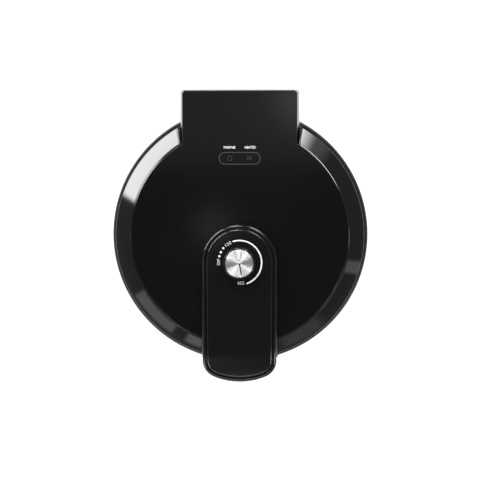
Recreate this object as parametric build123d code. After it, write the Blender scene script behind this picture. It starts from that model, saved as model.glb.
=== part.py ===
from build123d import *
import math
import os

# An electric pizza maker: a round base and a hinged lid, with a heated plate in each.
# Sizes are in millimetres. +Z is up, the front is -Y, and the round body is centred on the origin.

# Clearances
FIT = 0.3                 # between mouldings that are pushed together
SNUG = 0.1                # between pieces of one body that lie on each other
PIN_CLEAR = 0.05          # radial, round pins and shafts
WALL = 2.5                # moulded walls

# Cooking plates, for a 305 mm pizza
PIZZA_R = 152.5
PLATE_RIM_W = 9.0
PLATE_RIM_T = 3.0
PLATE_FLOOR_T = 3.5
PLATE_WALL_T = 3.0
PLATE_DRAFT = 2.5
LOWER_DEPTH = 10.0
UPPER_DEPTH = 8.0
PLATE_PROUD = 0.3         # the lower plate's rim above the base's rim
PLATE_GAP = 0.3           # between the two plates when shut
BOSS_RUN = 20.0           # screw bosses outside the element
BOSS_R = 5.0

# Base
FOOT_H = 8.0
BASE_H = 42.0
BOTTOM_COVER_T = 2.0
BOTTOM_SEAT_W = 7.5
BOTTOM_R = 148.0          # the base's radius at its lower edge
LIP_W = 5.0               # the base's rim outside the lid
RIM_T = 5.5
RIM_BEVEL = 0.8
RIM_STEP = 3.0            # the rim overhangs the base's wall
LOWER_REFLECTOR_H = 14.5  # above the base's lower edge

# Lid
LID_RIM_W = 3.1           # the lid outside its plate
LID_GAP = 1.5             # lid over base
LID_H = 40.5
SKIRT_LIFT = 3.5          # the bevel ring's lower edge above the liner's face
SKIRT_DRAFT = 1.0
BEVEL_W = 21.0
BEVEL_H = 16.0
LEDGE_W = 10.0            # the ring's inner ledge, under the cover
LEDGE_T = 2.5
COVER_RIM_T = 5.0
SEAM = 0.25               # visible seam between cover and ring
UPPER_REFLECTOR_H = 14.0  # above the upper plate's back

# Hinge and the lid's rear box
BARREL_R = 12.0
BARREL_GAP = 1.5          # barrel behind the plates
HINGE_RISE = 4.0          # axis above the base's rim
BOX_RUN = 2.8             # barrel to the box's rear wall
BOX_BEVEL_H = 15.0        # the band below the top where the box leans in
BOX_DRAFT = 2.6
BOX_EDGE_R = 1.5
LEAD_ROOM = 8.5           # between the pin heads and the box's side walls
BOX_CORNER_R = 5.0
BOX_FRONT_INSET = 43.0    # from the flat top's edge
END_FLARE = 4.0           # the ring's ends lean away from the box
KNUCKLE_W = 116.0
PIN_R = 4.0
PIN_HEAD_R = 6.5
PIN_HEAD_T = 2.8
PIN_GRIP = 13.5           # length of a pin inside the knuckle
BUSH_T = 1.45
BUSH_FLANGE_R = 8.0
BUSH_FLANGE_T = 1.6
ARM_T = 4.0
ARM_EYE_R = 9.0
ARM_FLANGE_W = 18.0
ARM_FLANGE_L = 42.0
ARM_REACH = 67.0          # from the hinge axis to the arm's front end
ARM_TAIL = 15.0           # from the hinge axis to the end of the arm's top edge
ARM_SCREW_INSET = 8.5
LID_OPEN_DEG = 100.0
STOP_GAP = 0.4

# Rear block of the base
BLOCK_INSET = 4.7         # each side, inside the lid's box
BLOCK_BEHIND_HINGE = -10.0
DECK_BEHIND_HINGE = 11.0
DECK_H = 17.0
BLOCK_CORNER_R = 8.0
BLOCK_ROOM = 15.0         # the shaft in the block that the leads rise through
STOP_X = 36.0
STOP_W = 12.0
CORD_X = -40.0
CORD_R = 3.4
GLAND_R = 5.6
GLAND_FLANGE_R = 6.4
GLAND_FLANGE_T = 3.0
NOTCH_GAP = 0.8           # the base's rim stops this far outside the lid's box

# Front grip of the base
GRIP_INSET = 1.5          # inside the handle's outline
GRIP_DROP = 6.0           # below the base's rim
GRIP_DEPTH = 13.0
GRIP_NOSE_H = 8.0
GRIP_FLARE = 14.0
GRIP_ROOT_R = 12.0
GRIP_ROOT_L = 10.0

# Handle of the lid
KNOB_Y = -34.0
HANDLE_W = 98.8           # at its round end
HANDLE_TAPER = 0.9        # narrower at the front, on each side
HANDLE_REACH = 22.3       # past the base's rim
HANDLE_FRONT_R = 87.0
HANDLE_CORNER_R = 24.0
HANDLE_RISE = 9.0         # above the flat top
HANDLE_BEND_INSET = 3.0   # from the flat top's edge
HANDLE_DROP = 7.0         # how far the top falls towards the front
HANDLE_WALL = 3.0
HANDLE_TOP_T = 3.5
HANDLE_EDGE_R = 2.4
GRIP_SPLIT_DROP = 12.0    # the grip's split line below the flat top
GRIP_TRAY_H = 6.0
GRIP_LOW_R = 4.0
PANEL_INSET = 5.6
PANEL_PROUD = 0.8
PANEL_DEEP = 1.6
SCREW_X = 30.0
HANDLE_SCREW_RUN = 36.0   # from the knob
HANDLE_SCREW_INSET = 18.0
GRIP_SCREW_INSET = 14.8
GRIP_SCREW_BITE = 8.0

# Knob and thermostat
KNOB_GAP = 0.4
KNOB_H = 17.2
KNOB_R = 21.3
KNOB_TOP_R = 20.3
KNOB_SKIRT_H = 1.3
KNOB_WALL = 2.6
KNOB_HUB_R = 7.0
CAP_R = 18.2
CAP_T = 1.4
CAP_SINK = 1.2
POINTER_W = 1.6
POINTER_L = 16.0
POINTER_DEG = -79.0
POINTER_T = 0.5
SHAFT_R = 3.0
SHAFT_FLAT = 0.8
THERMOSTAT_R = 16.0
THERMOSTAT_H = 13.5
NECK_R = 5.0
NECK_H = 5.2
NUT_R = 8.0
NUT_H = 2.6
BRACKET_L = 56.0
BRACKET_W = 24.0
BRACKET_T = 1.5
THERMOSTAT_HOLE_R = 20.0

# Indicator window
WINDOW_INSET = 41.0       # from the flat top's edge
WINDOW_L = 55.4
WINDOW_W = 16.9
WINDOW_T = 1.6
WINDOW_SEAT = 2.2
LAMP_X = 13.0
LAMP_R = 3.0
LAMP_H = 7.0
HOLDER_H = 10.0
HOLDER_WALL = 1.5

# Heating elements
ELEMENT_INSET = 47.5      # inside the pizza's edge
ELEMENT_TUBE_R = 3.5
ELEMENT_END_X = 14.0
ELEMENT_END_RUN = 25.0
ELEMENT_BEND_R = 10.0
CLIP_T = 1.0
CLIP_W = 10.0
CLIP_FOOT = 6.0
FUSE_R = 2.0
FUSE_L = 14.0
FUSE_Y = -60.0
REFLECTOR_T = 1.0
REFLECTOR_FLAT_RUN = 10.0 # past the screw bosses
REFLECTOR_FLARE_W = 13.0
REFLECTOR_RISE = 12.5
REFLECTOR_NOTCH_W = 44.0

# Small hardware
SCREW_R = 1.5
SCREW_HEAD_R = 3.0
SCREW_HEAD_H = 2.0
SCREW_HOLE_R = 1.8
FOOT_R = 9.0
FOOT_STEM_R = 3.0
FOOT_HEAD_R = 4.2
FOOT_DEG = 43.5           # the front feet, measured from the front
FOOT_GAP = 2.9            # a front foot's stem inside the cover's seat
FOOT_INSET = 5.0          # a rear foot inside the block's outline
VENT_L = 44.0
VENT_W = 4.0
VENT_PITCH = 11.0
VENT_COUNT = 7
TERMINAL_L = 44.0
TERMINAL_W = 12.0
TERMINAL_H = 9.5
WIRE_R = 1.5

# Heights, from the table up
BASE_Z = FOOT_H
RIM_Z = BASE_Z + BASE_H
PLATE_TOP_Z = RIM_Z + PLATE_PROUD
SEAT_Z = PLATE_TOP_Z - PLATE_RIM_T
SEAT_UNDER_Z = SEAT_Z - WALL
WALL_TOP_Z = RIM_Z - RIM_T - 2.0
LOWER_FLOOR_Z = PLATE_TOP_Z - LOWER_DEPTH
LOWER_BACK_Z = LOWER_FLOOR_Z - PLATE_FLOOR_T
LOWER_REFLECTOR_Z = BASE_Z + LOWER_REFLECTOR_H
UPPER_FACE_Z = PLATE_TOP_Z + PLATE_GAP
UPPER_SEAT_Z = UPPER_FACE_Z + PLATE_RIM_T
LINER_TOP_Z = UPPER_SEAT_Z + WALL
UPPER_FLOOR_Z = UPPER_FACE_Z + UPPER_DEPTH
UPPER_BACK_Z = UPPER_FLOOR_Z + PLATE_FLOOR_T
UPPER_REFLECTOR_Z = UPPER_BACK_Z + UPPER_REFLECTOR_H
LINER_Z = RIM_Z + LID_GAP
SKIRT_Z = LINER_Z + SKIRT_LIFT
TOP_Z = LINER_Z + LID_H
BEVEL_Z = TOP_Z - BEVEL_H
BOX_SHOULDER_Z = TOP_Z - BOX_BEVEL_H
COVER_UNDER_Z = TOP_Z - WALL
COVER_RIM_Z = TOP_Z - COVER_RIM_T
HANDLE_Z = TOP_Z + HANDLE_RISE
PANEL_Z = HANDLE_Z + PANEL_PROUD
KNOB_Z = PANEL_Z + KNOB_GAP
KNOB_TOP_Z = KNOB_Z + KNOB_H
SPLIT_Z = TOP_Z - GRIP_SPLIT_DROP

# Radii, from the pizza out
PLATE_R = PIZZA_R + PLATE_RIM_W
REBATE_R = PLATE_R + FIT + SNUG
SEAT_R = PIZZA_R + PLATE_WALL_T + 1.0
LID_R = REBATE_R + LID_RIM_W
RIM_R = LID_R + LIP_W
WALL_TOP_R = RIM_R - RIM_STEP
BEVEL_R = LID_R - SKIRT_DRAFT
TOP_R = BEVEL_R - BEVEL_W
COVER_SEAT_R = BOTTOM_R - WALL
COVER_HOLE_R = COVER_SEAT_R - BOTTOM_SEAT_W
LEDGE_R = TOP_R - LEDGE_W
ELEMENT_R = PIZZA_R - ELEMENT_INSET
ELEMENT_END_Y = ELEMENT_R + ELEMENT_END_RUN
BOSS_PITCH_R = ELEMENT_R + BOSS_RUN
REFLECTOR_FLAT_R = BOSS_PITCH_R + REFLECTOR_FLAT_RUN
REFLECTOR_R = REFLECTOR_FLAT_R + REFLECTOR_FLARE_W
PLATE_SCREW_R = SEAT_R + (REBATE_R - SEAT_R) / 2

# Places along the lid, from the flat top's edge
HANDLE_FRONT_Y = -(RIM_R + HANDLE_REACH)
HANDLE_BEND_Y = -(TOP_R - HANDLE_BEND_INSET)
HANDLE_SCREW_YS = (KNOB_Y - HANDLE_SCREW_RUN, -(TOP_R - HANDLE_SCREW_INSET))
WINDOW_Y = TOP_R - WINDOW_INSET
BOX_FRONT_Y = TOP_R - BOX_FRONT_INSET

# The hinge's place, and the box and block built round it
HINGE_Y = PLATE_R + BARREL_GAP + BARREL_R
HINGE_Z = RIM_Z + HINGE_RISE
BOX_REAR_Y = HINGE_Y + BARREL_R + BOX_RUN + WALL
BOX_LOW_Z = LINER_Z + 0.5
BLOCK_Y = HINGE_Y + BLOCK_BEHIND_HINGE
DECK_Y = HINGE_Y + DECK_BEHIND_HINGE
DECK_Z = BASE_Z + DECK_H
CORD_Z = BASE_Z + DECK_H / 2
BUSH_X = KNUCKLE_W / 2 + FIT
ARM_X = BUSH_X + BUSH_FLANGE_T
ARM_OUTER_X = ARM_X + ARM_T
PIN_HEAD_X = ARM_OUTER_X + FIT + SNUG
TERMINAL_Y = BLOCK_Y - WALL - BLOCK_ROOM / 2
TERMINAL_Z = BASE_Z + BOTTOM_COVER_T + WALL
BOX_W = 2 * (PIN_HEAD_X + PIN_HEAD_T + LEAD_ROOM + WALL)
BLOCK_W = BOX_W - 2 * BLOCK_INSET
NOTCH_X = BOX_W / 2 + NOTCH_GAP
FRONT_FOOT_R = COVER_HOLE_R - FOOT_HEAD_R - FOOT_GAP
FRONT_FOOT = (FRONT_FOOT_R * math.sin(math.radians(FOOT_DEG)), -FRONT_FOOT_R * math.cos(math.radians(FOOT_DEG)))
REAR_FOOT = (BLOCK_W / 2 - FOOT_R - FOOT_INSET, DECK_Y - FOOT_R - FOOT_INSET)
ARM_FLANGE_Z = TOP_Z - WALL - COVER_RIM_T
ARM_FRONT_Y = HINGE_Y - ARM_REACH
GRIP_SCREW_Y = HANDLE_FRONT_Y + GRIP_SCREW_INSET


def profile(points, rounds=()):
    """A flat outline, with the corners named in rounds made into arcs."""
    face = make_face(Polyline(*points, close=True))
    for corner, radius in rounds:
        vertex = face.vertices().sort_by_distance((corner[0], corner[1], 0))[0]
        face = fillet(vertex, radius)
    return face


def turned(points, rounds=()):
    """A (radius, height) outline turned about the vertical axis."""
    return revolve(Plane.XZ * profile(points, rounds), Axis.Z)


def along_x(points, low, high, rounds=()):
    """A (y, z) outline drawn out along X from low to high."""
    return Pos(low, 0, 0) * extrude(Plane.YZ * profile(points, rounds), high - low)


def upright(points, low, high, rounds=()):
    """An (x, y) outline drawn up from low to high."""
    return Pos(0, 0, low) * extrude(profile(points, rounds), high - low)


def block(x0, x1, y0, y1, z0, z1):
    return Pos((x0 + x1) / 2, (y0 + y1) / 2, (z0 + z1) / 2) * Box(x1 - x0, y1 - y0, z1 - z0)


def post(x, y, z0, z1, radius):
    return Pos(x, y, (z0 + z1) / 2) * Cylinder(radius, abs(z1 - z0))


def bar(x0, x1, y, z, radius):
    """A round bar along X."""
    return Pos((x0 + x1) / 2, y, z) * Rot(0, 90, 0) * Cylinder(radius, abs(x1 - x0))


def rod(x, y0, y1, z, radius):
    """A round bar along Y."""
    return Pos(x, (y0 + y1) / 2, z) * Rot(90, 0, 0) * Cylinder(radius, abs(y1 - y0))


def both_sides(shape):
    return shape + mirror(shape, about=Plane.YZ)


def around(count, radius, first_deg):
    """Places on a circle, evenly spaced."""
    angles = [math.radians(first_deg + 360 * step / count) for step in range(count)]
    return [(radius * math.cos(a), radius * math.sin(a)) for a in angles]


def screw(x, y, seat_z, tip_z):
    """A pan-head screw whose head bears on seat_z and whose end is at tip_z."""
    side = 1 if seat_z > tip_z else -1
    head = post(x, y, seat_z, seat_z + side * SCREW_HEAD_H, SCREW_HEAD_R)
    return head + post(x, y, seat_z, tip_z, SCREW_R)


def wire(*points, radii):
    """A round lead along straight runs joined by arcs."""
    path = FilletPolyline(*points, radius=radii)
    start = Plane(origin=path @ 0, z_dir=path % 0)
    return sweep(start * Circle(WIRE_R), path=path)


def base_wall_r(z):
    """Outer radius of the base's tapered wall at height z."""
    return BOTTOM_R + (z - BASE_Z) * (WALL_TOP_R - BOTTOM_R) / (WALL_TOP_Z - BASE_Z)


def bevel_z(radius):
    """Height of the lid's bevel at a radius."""
    return TOP_Z - (radius - TOP_R) * BEVEL_H / BEVEL_W


BEVEL_WALL = WALL / math.cos(math.atan(BEVEL_H / BEVEL_W))
BASE_WALL = WALL / math.cos(math.atan((WALL_TOP_R - BOTTOM_R) / (WALL_TOP_Z - BASE_Z)))


# The path along which the rising lead crosses the base's rear wall into the hinge barrel.
LEAD_FOOT = (0, TERMINAL_Y, LOWER_BACK_Z - 1.3)
LEAD_HEAD = (0, HINGE_Y, HINGE_Z)


def lead_hole():
    run = Line(LEAD_FOOT, LEAD_HEAD)
    start = Plane(origin=run @ 0.1, z_dir=run % 0)
    return extrude(start * Circle(2 * WIRE_R), amount=run.length * 0.9)


# Base

def base_bowl():
    """The outside of the round base, as one solid."""
    return turned(
        [(0, BASE_Z), (BOTTOM_R, BASE_Z), (WALL_TOP_R, WALL_TOP_Z), (RIM_R, RIM_Z - RIM_T),
         (RIM_R, RIM_Z - RIM_BEVEL), (RIM_R - RIM_BEVEL, RIM_Z), (0, RIM_Z)],
        rounds=[((BOTTOM_R, BASE_Z), 3)])


def base_inside():
    """What is hollow in the base: the cover's seat, the bowl and the plate's rebate."""
    floor = BASE_Z + BOTTOM_COVER_T
    return turned(
        [(0, BASE_Z - 1), (COVER_SEAT_R, BASE_Z - 1), (COVER_SEAT_R, floor), (COVER_HOLE_R, floor),
         (COVER_HOLE_R, floor + WALL), (base_wall_r(floor + WALL) - BASE_WALL, floor + WALL),
         (base_wall_r(WALL_TOP_Z) - BASE_WALL, WALL_TOP_Z), (base_wall_r(WALL_TOP_Z) - BASE_WALL, SEAT_UNDER_Z),
         (SEAT_R, SEAT_UNDER_Z), (SEAT_R, SEAT_Z), (REBATE_R, SEAT_Z), (REBATE_R, RIM_Z + 1),
         (0, RIM_Z + 1)])


def rear_block():
    """The block behind the bowl, with a low deck at its foot."""
    half = BLOCK_W / 2
    side = along_x(
        [(BOX_FRONT_Y, BASE_Z), (DECK_Y, BASE_Z), (DECK_Y, DECK_Z), (BLOCK_Y, DECK_Z),
         (BLOCK_Y, RIM_Z), (BOX_FRONT_Y, RIM_Z)], -half, half,
        rounds=[((DECK_Y, BASE_Z), 2), ((DECK_Y, DECK_Z), 3), ((BLOCK_Y, DECK_Z), 4)])
    plan = upright(
        [(-half, BOX_FRONT_Y), (half, BOX_FRONT_Y), (half, DECK_Y), (-half, DECK_Y)],
        BASE_Z, RIM_Z, rounds=[((half, DECK_Y), BLOCK_CORNER_R), ((-half, DECK_Y), BLOCK_CORNER_R)])
    return side & plan


def rear_block_inside():
    """A low room over the block's floor, and the shaft above the terminals."""
    half = BLOCK_W / 2 - WALL
    rear = DECK_Y - WALL
    room = block(-half, half, COVER_SEAT_R + 1, rear, BASE_Z + WALL, DECK_Z - WALL)
    shaft_front = BLOCK_Y - WALL - BLOCK_ROOM
    shaft = along_x(
        [(shaft_front, TERMINAL_Z), (rear, TERMINAL_Z), (rear, DECK_Z - WALL), (BLOCK_Y - WALL, DECK_Z - WALL),
         (BLOCK_Y - WALL, SEAT_UNDER_Z), (shaft_front, SEAT_UNDER_Z)], -half, half)
    return room + shaft


def terminal_pad():
    """The raised floor that the terminals stand on."""
    half = TERMINAL_L / 2
    return block(-half, half, TERMINAL_Y - TERMINAL_W / 2, TERMINAL_Y + TERMINAL_W / 2,
                 BASE_Z + BOTTOM_COVER_T, TERMINAL_Z)


def hinge_knuckle():
    """The barrel between the lid's arms, and the neck that carries it."""
    half = KNUCKLE_W / 2
    barrel = bar(-half, half, HINGE_Y, HINGE_Z, BARREL_R)
    neck = block(-half, half, BLOCK_Y - WALL, HINGE_Y, HINGE_Z - BARREL_R, RIM_Z)
    return barrel + neck


def stop_ribs():
    """Ribs on the rear wall that the lid's box comes to rest against when it is open."""
    angle = math.radians(LID_OPEN_DEG)
    reach = BOX_REAR_Y - HINGE_Y
    drop = BOX_LOW_Z - HINGE_Z
    face_y = HINGE_Y + reach * math.cos(angle) + drop * math.sin(angle) - STOP_GAP
    rib = block(STOP_X - STOP_W / 2, STOP_X + STOP_W / 2, BLOCK_Y - WALL / 2, face_y,
                DECK_Z - WALL / 2, HINGE_Z - BARREL_R + WALL / 2)
    return both_sides(rib)


def grip_side(low_shift, top_shift):
    """The front grip seen from the side: its underside rises towards the nose."""
    top = RIM_Z - GRIP_DROP - top_shift
    low = top + top_shift - GRIP_DEPTH - low_shift
    root_y = -(REBATE_R - 20)
    return along_x(
        [(root_y, top), (HANDLE_FRONT_Y, top), (HANDLE_FRONT_Y, low + GRIP_DEPTH - GRIP_NOSE_H),
         (-WALL_TOP_R, low), (root_y, low)], -HANDLE_W, HANDLE_W)


def front_grip():
    """The grip under the lid's handle, which runs into the rim with a flare."""
    half = HANDLE_W / 2 - HANDLE_TAPER - GRIP_INSET + FIT
    rim_y = -math.sqrt(RIM_R ** 2 - half ** 2)
    far = half + GRIP_FLARE
    far_y = -math.sqrt(RIM_R ** 2 - far ** 2) + 0.5
    root = upright(
        [(-far, rim_y + 20), (-far, far_y), (-half, rim_y), (-half, rim_y - GRIP_ROOT_L),
         (half, rim_y - GRIP_ROOT_L), (half, rim_y), (far, far_y), (far, rim_y + 20)], BASE_Z, RIM_Z,
        rounds=[((-half, rim_y), GRIP_ROOT_R), ((half, rim_y), GRIP_ROOT_R)])
    return (root + handle_prism(GRIP_INSET, BASE_Z, RIM_Z)) & grip_side(0, 0)


def grip_inside():
    """The grip is open from below."""
    return (handle_prism(GRIP_INSET + WALL, BASE_Z, RIM_Z) & grip_side(10, WALL)) - base_bowl()


def base_housing():
    notch = block(-NOTCH_X, NOTCH_X, BOX_FRONT_Y, RIM_R + 1, WALL_TOP_Z, RIM_Z + 1)
    notch -= post(0, 0, WALL_TOP_Z - 1, RIM_Z + 2, REBATE_R + WALL)
    shell = base_bowl() - notch + rear_block() + hinge_knuckle() + stop_ribs() + front_grip()
    shell -= grip_inside()
    shell -= base_inside()
    shell -= rear_block_inside()
    shell += terminal_pad()
    shell -= bar(-KNUCKLE_W / 2 + PIN_GRIP, KNUCKLE_W / 2 - PIN_GRIP, HINGE_Y, HINGE_Z, 2 * PIN_R)
    shell -= bar(-KNUCKLE_W / 2 - 1, KNUCKLE_W / 2 + 1, HINGE_Y, HINGE_Z, PIN_R + PIN_CLEAR / 2)
    shell -= lead_hole()
    shell -= rod(CORD_X, DECK_Y - WALL - 1, DECK_Y + 1, CORD_Z, GLAND_R + SNUG)
    for x, y in plate_screw_places():
        shell -= post(x, y, SEAT_UNDER_Z - 1, SEAT_Z + 1, SCREW_HOLE_R)
    for x, y in around(6, COVER_SEAT_R - BOTTOM_SEAT_W / 2, 0):
        shell -= post(x, y, BASE_Z, BASE_Z + BOTTOM_COVER_T + WALL + 1, SCREW_HOLE_R)
    for x in (-REAR_FOOT[0], REAR_FOOT[0]):
        shell -= post(x, REAR_FOOT[1], BASE_Z - 1, BASE_Z + WALL + 1, FOOT_STEM_R + SNUG)
    return shell


def base_bottom_cover():
    cover = post(0, 0, BASE_Z, BASE_Z + BOTTOM_COVER_T, COVER_SEAT_R - FIT)
    for step in range(VENT_COUNT):
        y = (step - (VENT_COUNT - 1) / 2) * VENT_PITCH
        slot = extrude(SlotOverall(VENT_L, VENT_W), BOTTOM_COVER_T + 2)
        cover -= Pos(0, y, BASE_Z - 1) * slot
    for x, y in around(6, COVER_SEAT_R - BOTTOM_SEAT_W / 2, 0):
        cover -= post(x, y, BASE_Z - 1, RIM_Z, SCREW_HOLE_R)
    for x in (-FRONT_FOOT[0], FRONT_FOOT[0]):
        cover -= post(x, FRONT_FOOT[1], BASE_Z - 1, RIM_Z, FOOT_STEM_R + SNUG)
    return cover


def foot(x, y, seat_t):
    """A pad with a stem that snaps through a wall of thickness seat_t."""
    top = BASE_Z + seat_t + SNUG
    pad = turned(
        [(0, 0), (FOOT_R, 0), (FOOT_R - 1, BASE_Z), (FOOT_STEM_R, BASE_Z), (FOOT_STEM_R, top),
         (FOOT_HEAD_R, top), (FOOT_STEM_R, top + 1.6), (0, top + 1.6)],
        rounds=[((FOOT_R, 0), 1)])
    return Pos(x, y, 0) * pad


def rubber_feet():
    front = foot(FRONT_FOOT[0], FRONT_FOOT[1], BOTTOM_COVER_T)
    rear = foot(REAR_FOOT[0], REAR_FOOT[1], WALL)
    return both_sides(front) + both_sides(rear)


def bottom_cover_screws():
    places = around(6, COVER_SEAT_R - BOTTOM_SEAT_W / 2, 0)
    return [screw(x, y, BASE_Z, BASE_Z + BOTTOM_COVER_T + WALL) for x, y in places]


def cord_inlet():
    """The bush in the rear wall that the mains lead comes in through."""
    outside = rod(CORD_X, DECK_Y, DECK_Y + GLAND_FLANGE_T, CORD_Z, GLAND_FLANGE_R)
    body = rod(CORD_X, DECK_Y - WALL - GLAND_FLANGE_T, DECK_Y, CORD_Z, GLAND_R)
    bore = rod(CORD_X, DECK_Y - WALL - 2 * GLAND_FLANGE_T, DECK_Y + 2 * GLAND_FLANGE_T, CORD_Z, CORD_R)
    return outside + body - bore


def terminal_block():
    half = TERMINAL_L / 2
    top = TERMINAL_Z + SNUG + TERMINAL_H
    body = block(-half, half, TERMINAL_Y - TERMINAL_W / 2, TERMINAL_Y + TERMINAL_W / 2,
                 TERMINAL_Z + SNUG, top)
    pitch = TERMINAL_L / 4
    for step in (-1.5, -0.5, 0.5, 1.5):
        way = step * pitch
        body -= block(way - WIRE_R, way + WIRE_R, TERMINAL_Y - TERMINAL_W, TERMINAL_Y + TERMINAL_W,
                      top - WIRE_R, top + 1)
    return body


# Plates and heating

def cooking_plate(rim_z, depth, up):
    """A cast plate: up is 1 for the lower one, whose dish opens upwards, and -1 for the upper."""
    floor = rim_z - up * depth
    back = floor - up * PLATE_FLOOR_T
    under = rim_z - up * PLATE_RIM_T
    foot_r = PIZZA_R - PLATE_DRAFT
    return turned(
        [(0, floor), (foot_r, floor), (PIZZA_R, rim_z), (PLATE_R, rim_z), (PLATE_R, under),
         (PIZZA_R + PLATE_WALL_T, under), (foot_r + PLATE_WALL_T, back), (0, back)],
        rounds=[((foot_r, floor), 4), ((foot_r + PLATE_WALL_T, back), 3)])


def lower_cooking_plate():
    plate = cooking_plate(PLATE_TOP_Z, LOWER_DEPTH, 1)
    top = LOWER_REFLECTOR_Z + REFLECTOR_T
    for x, y in around(4, BOSS_PITCH_R, 45):
        plate += post(x, y, top, LOWER_BACK_Z + 1, BOSS_R)
    for x, y in around(4, BOSS_PITCH_R, 45):
        plate -= post(x, y, top, LOWER_BACK_Z, SCREW_R + PIN_CLEAR)
    for x, y in plate_screw_places():
        plate -= post(x, y, SEAT_Z, PLATE_TOP_Z - 1, SCREW_R + PIN_CLEAR)
    return plate


def upper_cooking_plate():
    plate = cooking_plate(UPPER_FACE_Z, UPPER_DEPTH, -1)
    for x, y in around(4, BOSS_PITCH_R, 45):
        plate += post(x, y, UPPER_BACK_Z - 1, UPPER_REFLECTOR_Z, BOSS_R)
    for x, y in around(4, BOSS_PITCH_R, 45):
        plate -= post(x, y, UPPER_BACK_Z, UPPER_REFLECTOR_Z, SCREW_R + PIN_CLEAR)
    for x, y in plate_screw_places():
        plate -= post(x, y, UPPER_FACE_Z + 1, UPPER_SEAT_Z, SCREW_R + PIN_CLEAR)
    return plate


def plate_screw_places():
    """Five of six places on the ring: the rear one is left out, where the hinge is."""
    return [(x, y) for x, y in around(6, PLATE_SCREW_R, 30) if y < HINGE_Y - 2 * BARREL_R]


def heating_element(z):
    """A sheathed tube bent into a ring, with both ends turned out to the rear."""
    bend_y = math.sqrt((ELEMENT_R + ELEMENT_BEND_R) ** 2 - (ELEMENT_END_X + ELEMENT_BEND_R) ** 2)
    share = ELEMENT_R / (ELEMENT_R + ELEMENT_BEND_R)
    join = ((ELEMENT_END_X + ELEMENT_BEND_R) * share, bend_y * share)
    centre = (ELEMENT_END_X + ELEMENT_BEND_R, bend_y)
    aim = math.atan2(join[1] - centre[1], join[0] - centre[0])
    halfway = (aim + math.pi) / 2 - math.pi
    middle = (centre[0] + ELEMENT_BEND_R * math.cos(halfway), centre[1] + ELEMENT_BEND_R * math.sin(halfway))
    right = Line((ELEMENT_END_X, ELEMENT_END_Y), (ELEMENT_END_X, bend_y))
    right_bend = ThreePointArc((ELEMENT_END_X, bend_y), middle, join)
    ring = ThreePointArc(join, (0, -ELEMENT_R), (-join[0], join[1]))
    left_bend = ThreePointArc((-join[0], join[1]), (-middle[0], middle[1]), (-ELEMENT_END_X, bend_y))
    left = Line((-ELEMENT_END_X, bend_y), (-ELEMENT_END_X, ELEMENT_END_Y))
    path = Wire([right, right_bend, ring, left_bend, left])
    start = Plane(origin=(ELEMENT_END_X, ELEMENT_END_Y, 0), z_dir=(0, -1, 0))
    return Pos(0, 0, z) * sweep(start * Circle(ELEMENT_TUBE_R), path=path)


LOWER_ELEMENT_Z = LOWER_BACK_Z - ELEMENT_TUBE_R - SNUG
UPPER_ELEMENT_Z = UPPER_BACK_Z + ELEMENT_TUBE_R + SNUG


def element_clips(back_z, element_z):
    """Saddle clips that hold the element against the plate's back."""
    side = 1 if back_z > element_z else -1
    inner_r = ELEMENT_TUBE_R + FIT
    outer_r = inner_r + CLIP_T
    foot_z = back_z - side * CLIP_T
    reach = outer_r + CLIP_FOOT
    clips = []
    for turn in (0, 180, 270):
        clip = rod(ELEMENT_R, -CLIP_W / 2, CLIP_W / 2, element_z, outer_r)
        clip += block(ELEMENT_R - reach, ELEMENT_R + reach, -CLIP_W / 2, CLIP_W / 2,
                      min(back_z, foot_z), max(back_z, foot_z))
        clip -= rod(ELEMENT_R, -CLIP_W, CLIP_W, element_z, inner_r)
        far_z = back_z + side * 3 * outer_r
        clip -= block(ELEMENT_R - outer_r, ELEMENT_R + outer_r, -CLIP_W, CLIP_W,
                      min(back_z, far_z), max(back_z, far_z))
        clips.append(Rot(0, 0, turn) * clip)
    return clips


def reflector(flat_z, side):
    """A thin dish behind the element: side is 1 where its rim turns up and -1 where it turns down."""
    dish = turned(
        [(0, flat_z), (REFLECTOR_FLAT_R, flat_z), (REFLECTOR_R, flat_z + side * REFLECTOR_RISE),
         (REFLECTOR_R - 0.7, flat_z + side * (REFLECTOR_RISE + 0.7)),
         (REFLECTOR_FLAT_R - 0.4, flat_z + side * REFLECTOR_T), (0, flat_z + side * REFLECTOR_T)])
    half = REFLECTOR_NOTCH_W / 2
    dish -= block(-half, half, ELEMENT_END_Y + 3, REFLECTOR_R + 1, flat_z - 20, flat_z + 20)
    for x, y in around(4, BOSS_PITCH_R, 45):
        dish -= post(x, y, flat_z - 3, flat_z + 3, SCREW_HOLE_R)
    return dish


def thermal_fuse():
    body = bar(-FUSE_L / 2, FUSE_L / 2, FUSE_Y, LOWER_BACK_Z - FUSE_R - SNUG, FUSE_R)
    return body + bar(-FUSE_L, FUSE_L, FUSE_Y, LOWER_BACK_Z - FUSE_R - SNUG, FUSE_R / 4)


def lower_plate_screws():
    return [screw(x, y, SEAT_UNDER_Z, PLATE_TOP_Z - 1) for x, y in plate_screw_places()]


def lower_reflector_screws():
    tip = LOWER_BACK_Z - 1
    return [screw(x, y, LOWER_REFLECTOR_Z, tip) for x, y in around(4, BOSS_PITCH_R, 45)]


def upper_plate_screws():
    seat = LINER_TOP_Z + WALL
    return [screw(x, y, seat, UPPER_FACE_Z + 1) for x, y in plate_screw_places()]


def upper_reflector_screws():
    seat = UPPER_REFLECTOR_Z + REFLECTOR_T
    return [screw(x, y, seat, UPPER_BACK_Z + 1) for x, y in around(4, BOSS_PITCH_R, 45)]


# Lid

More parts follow.
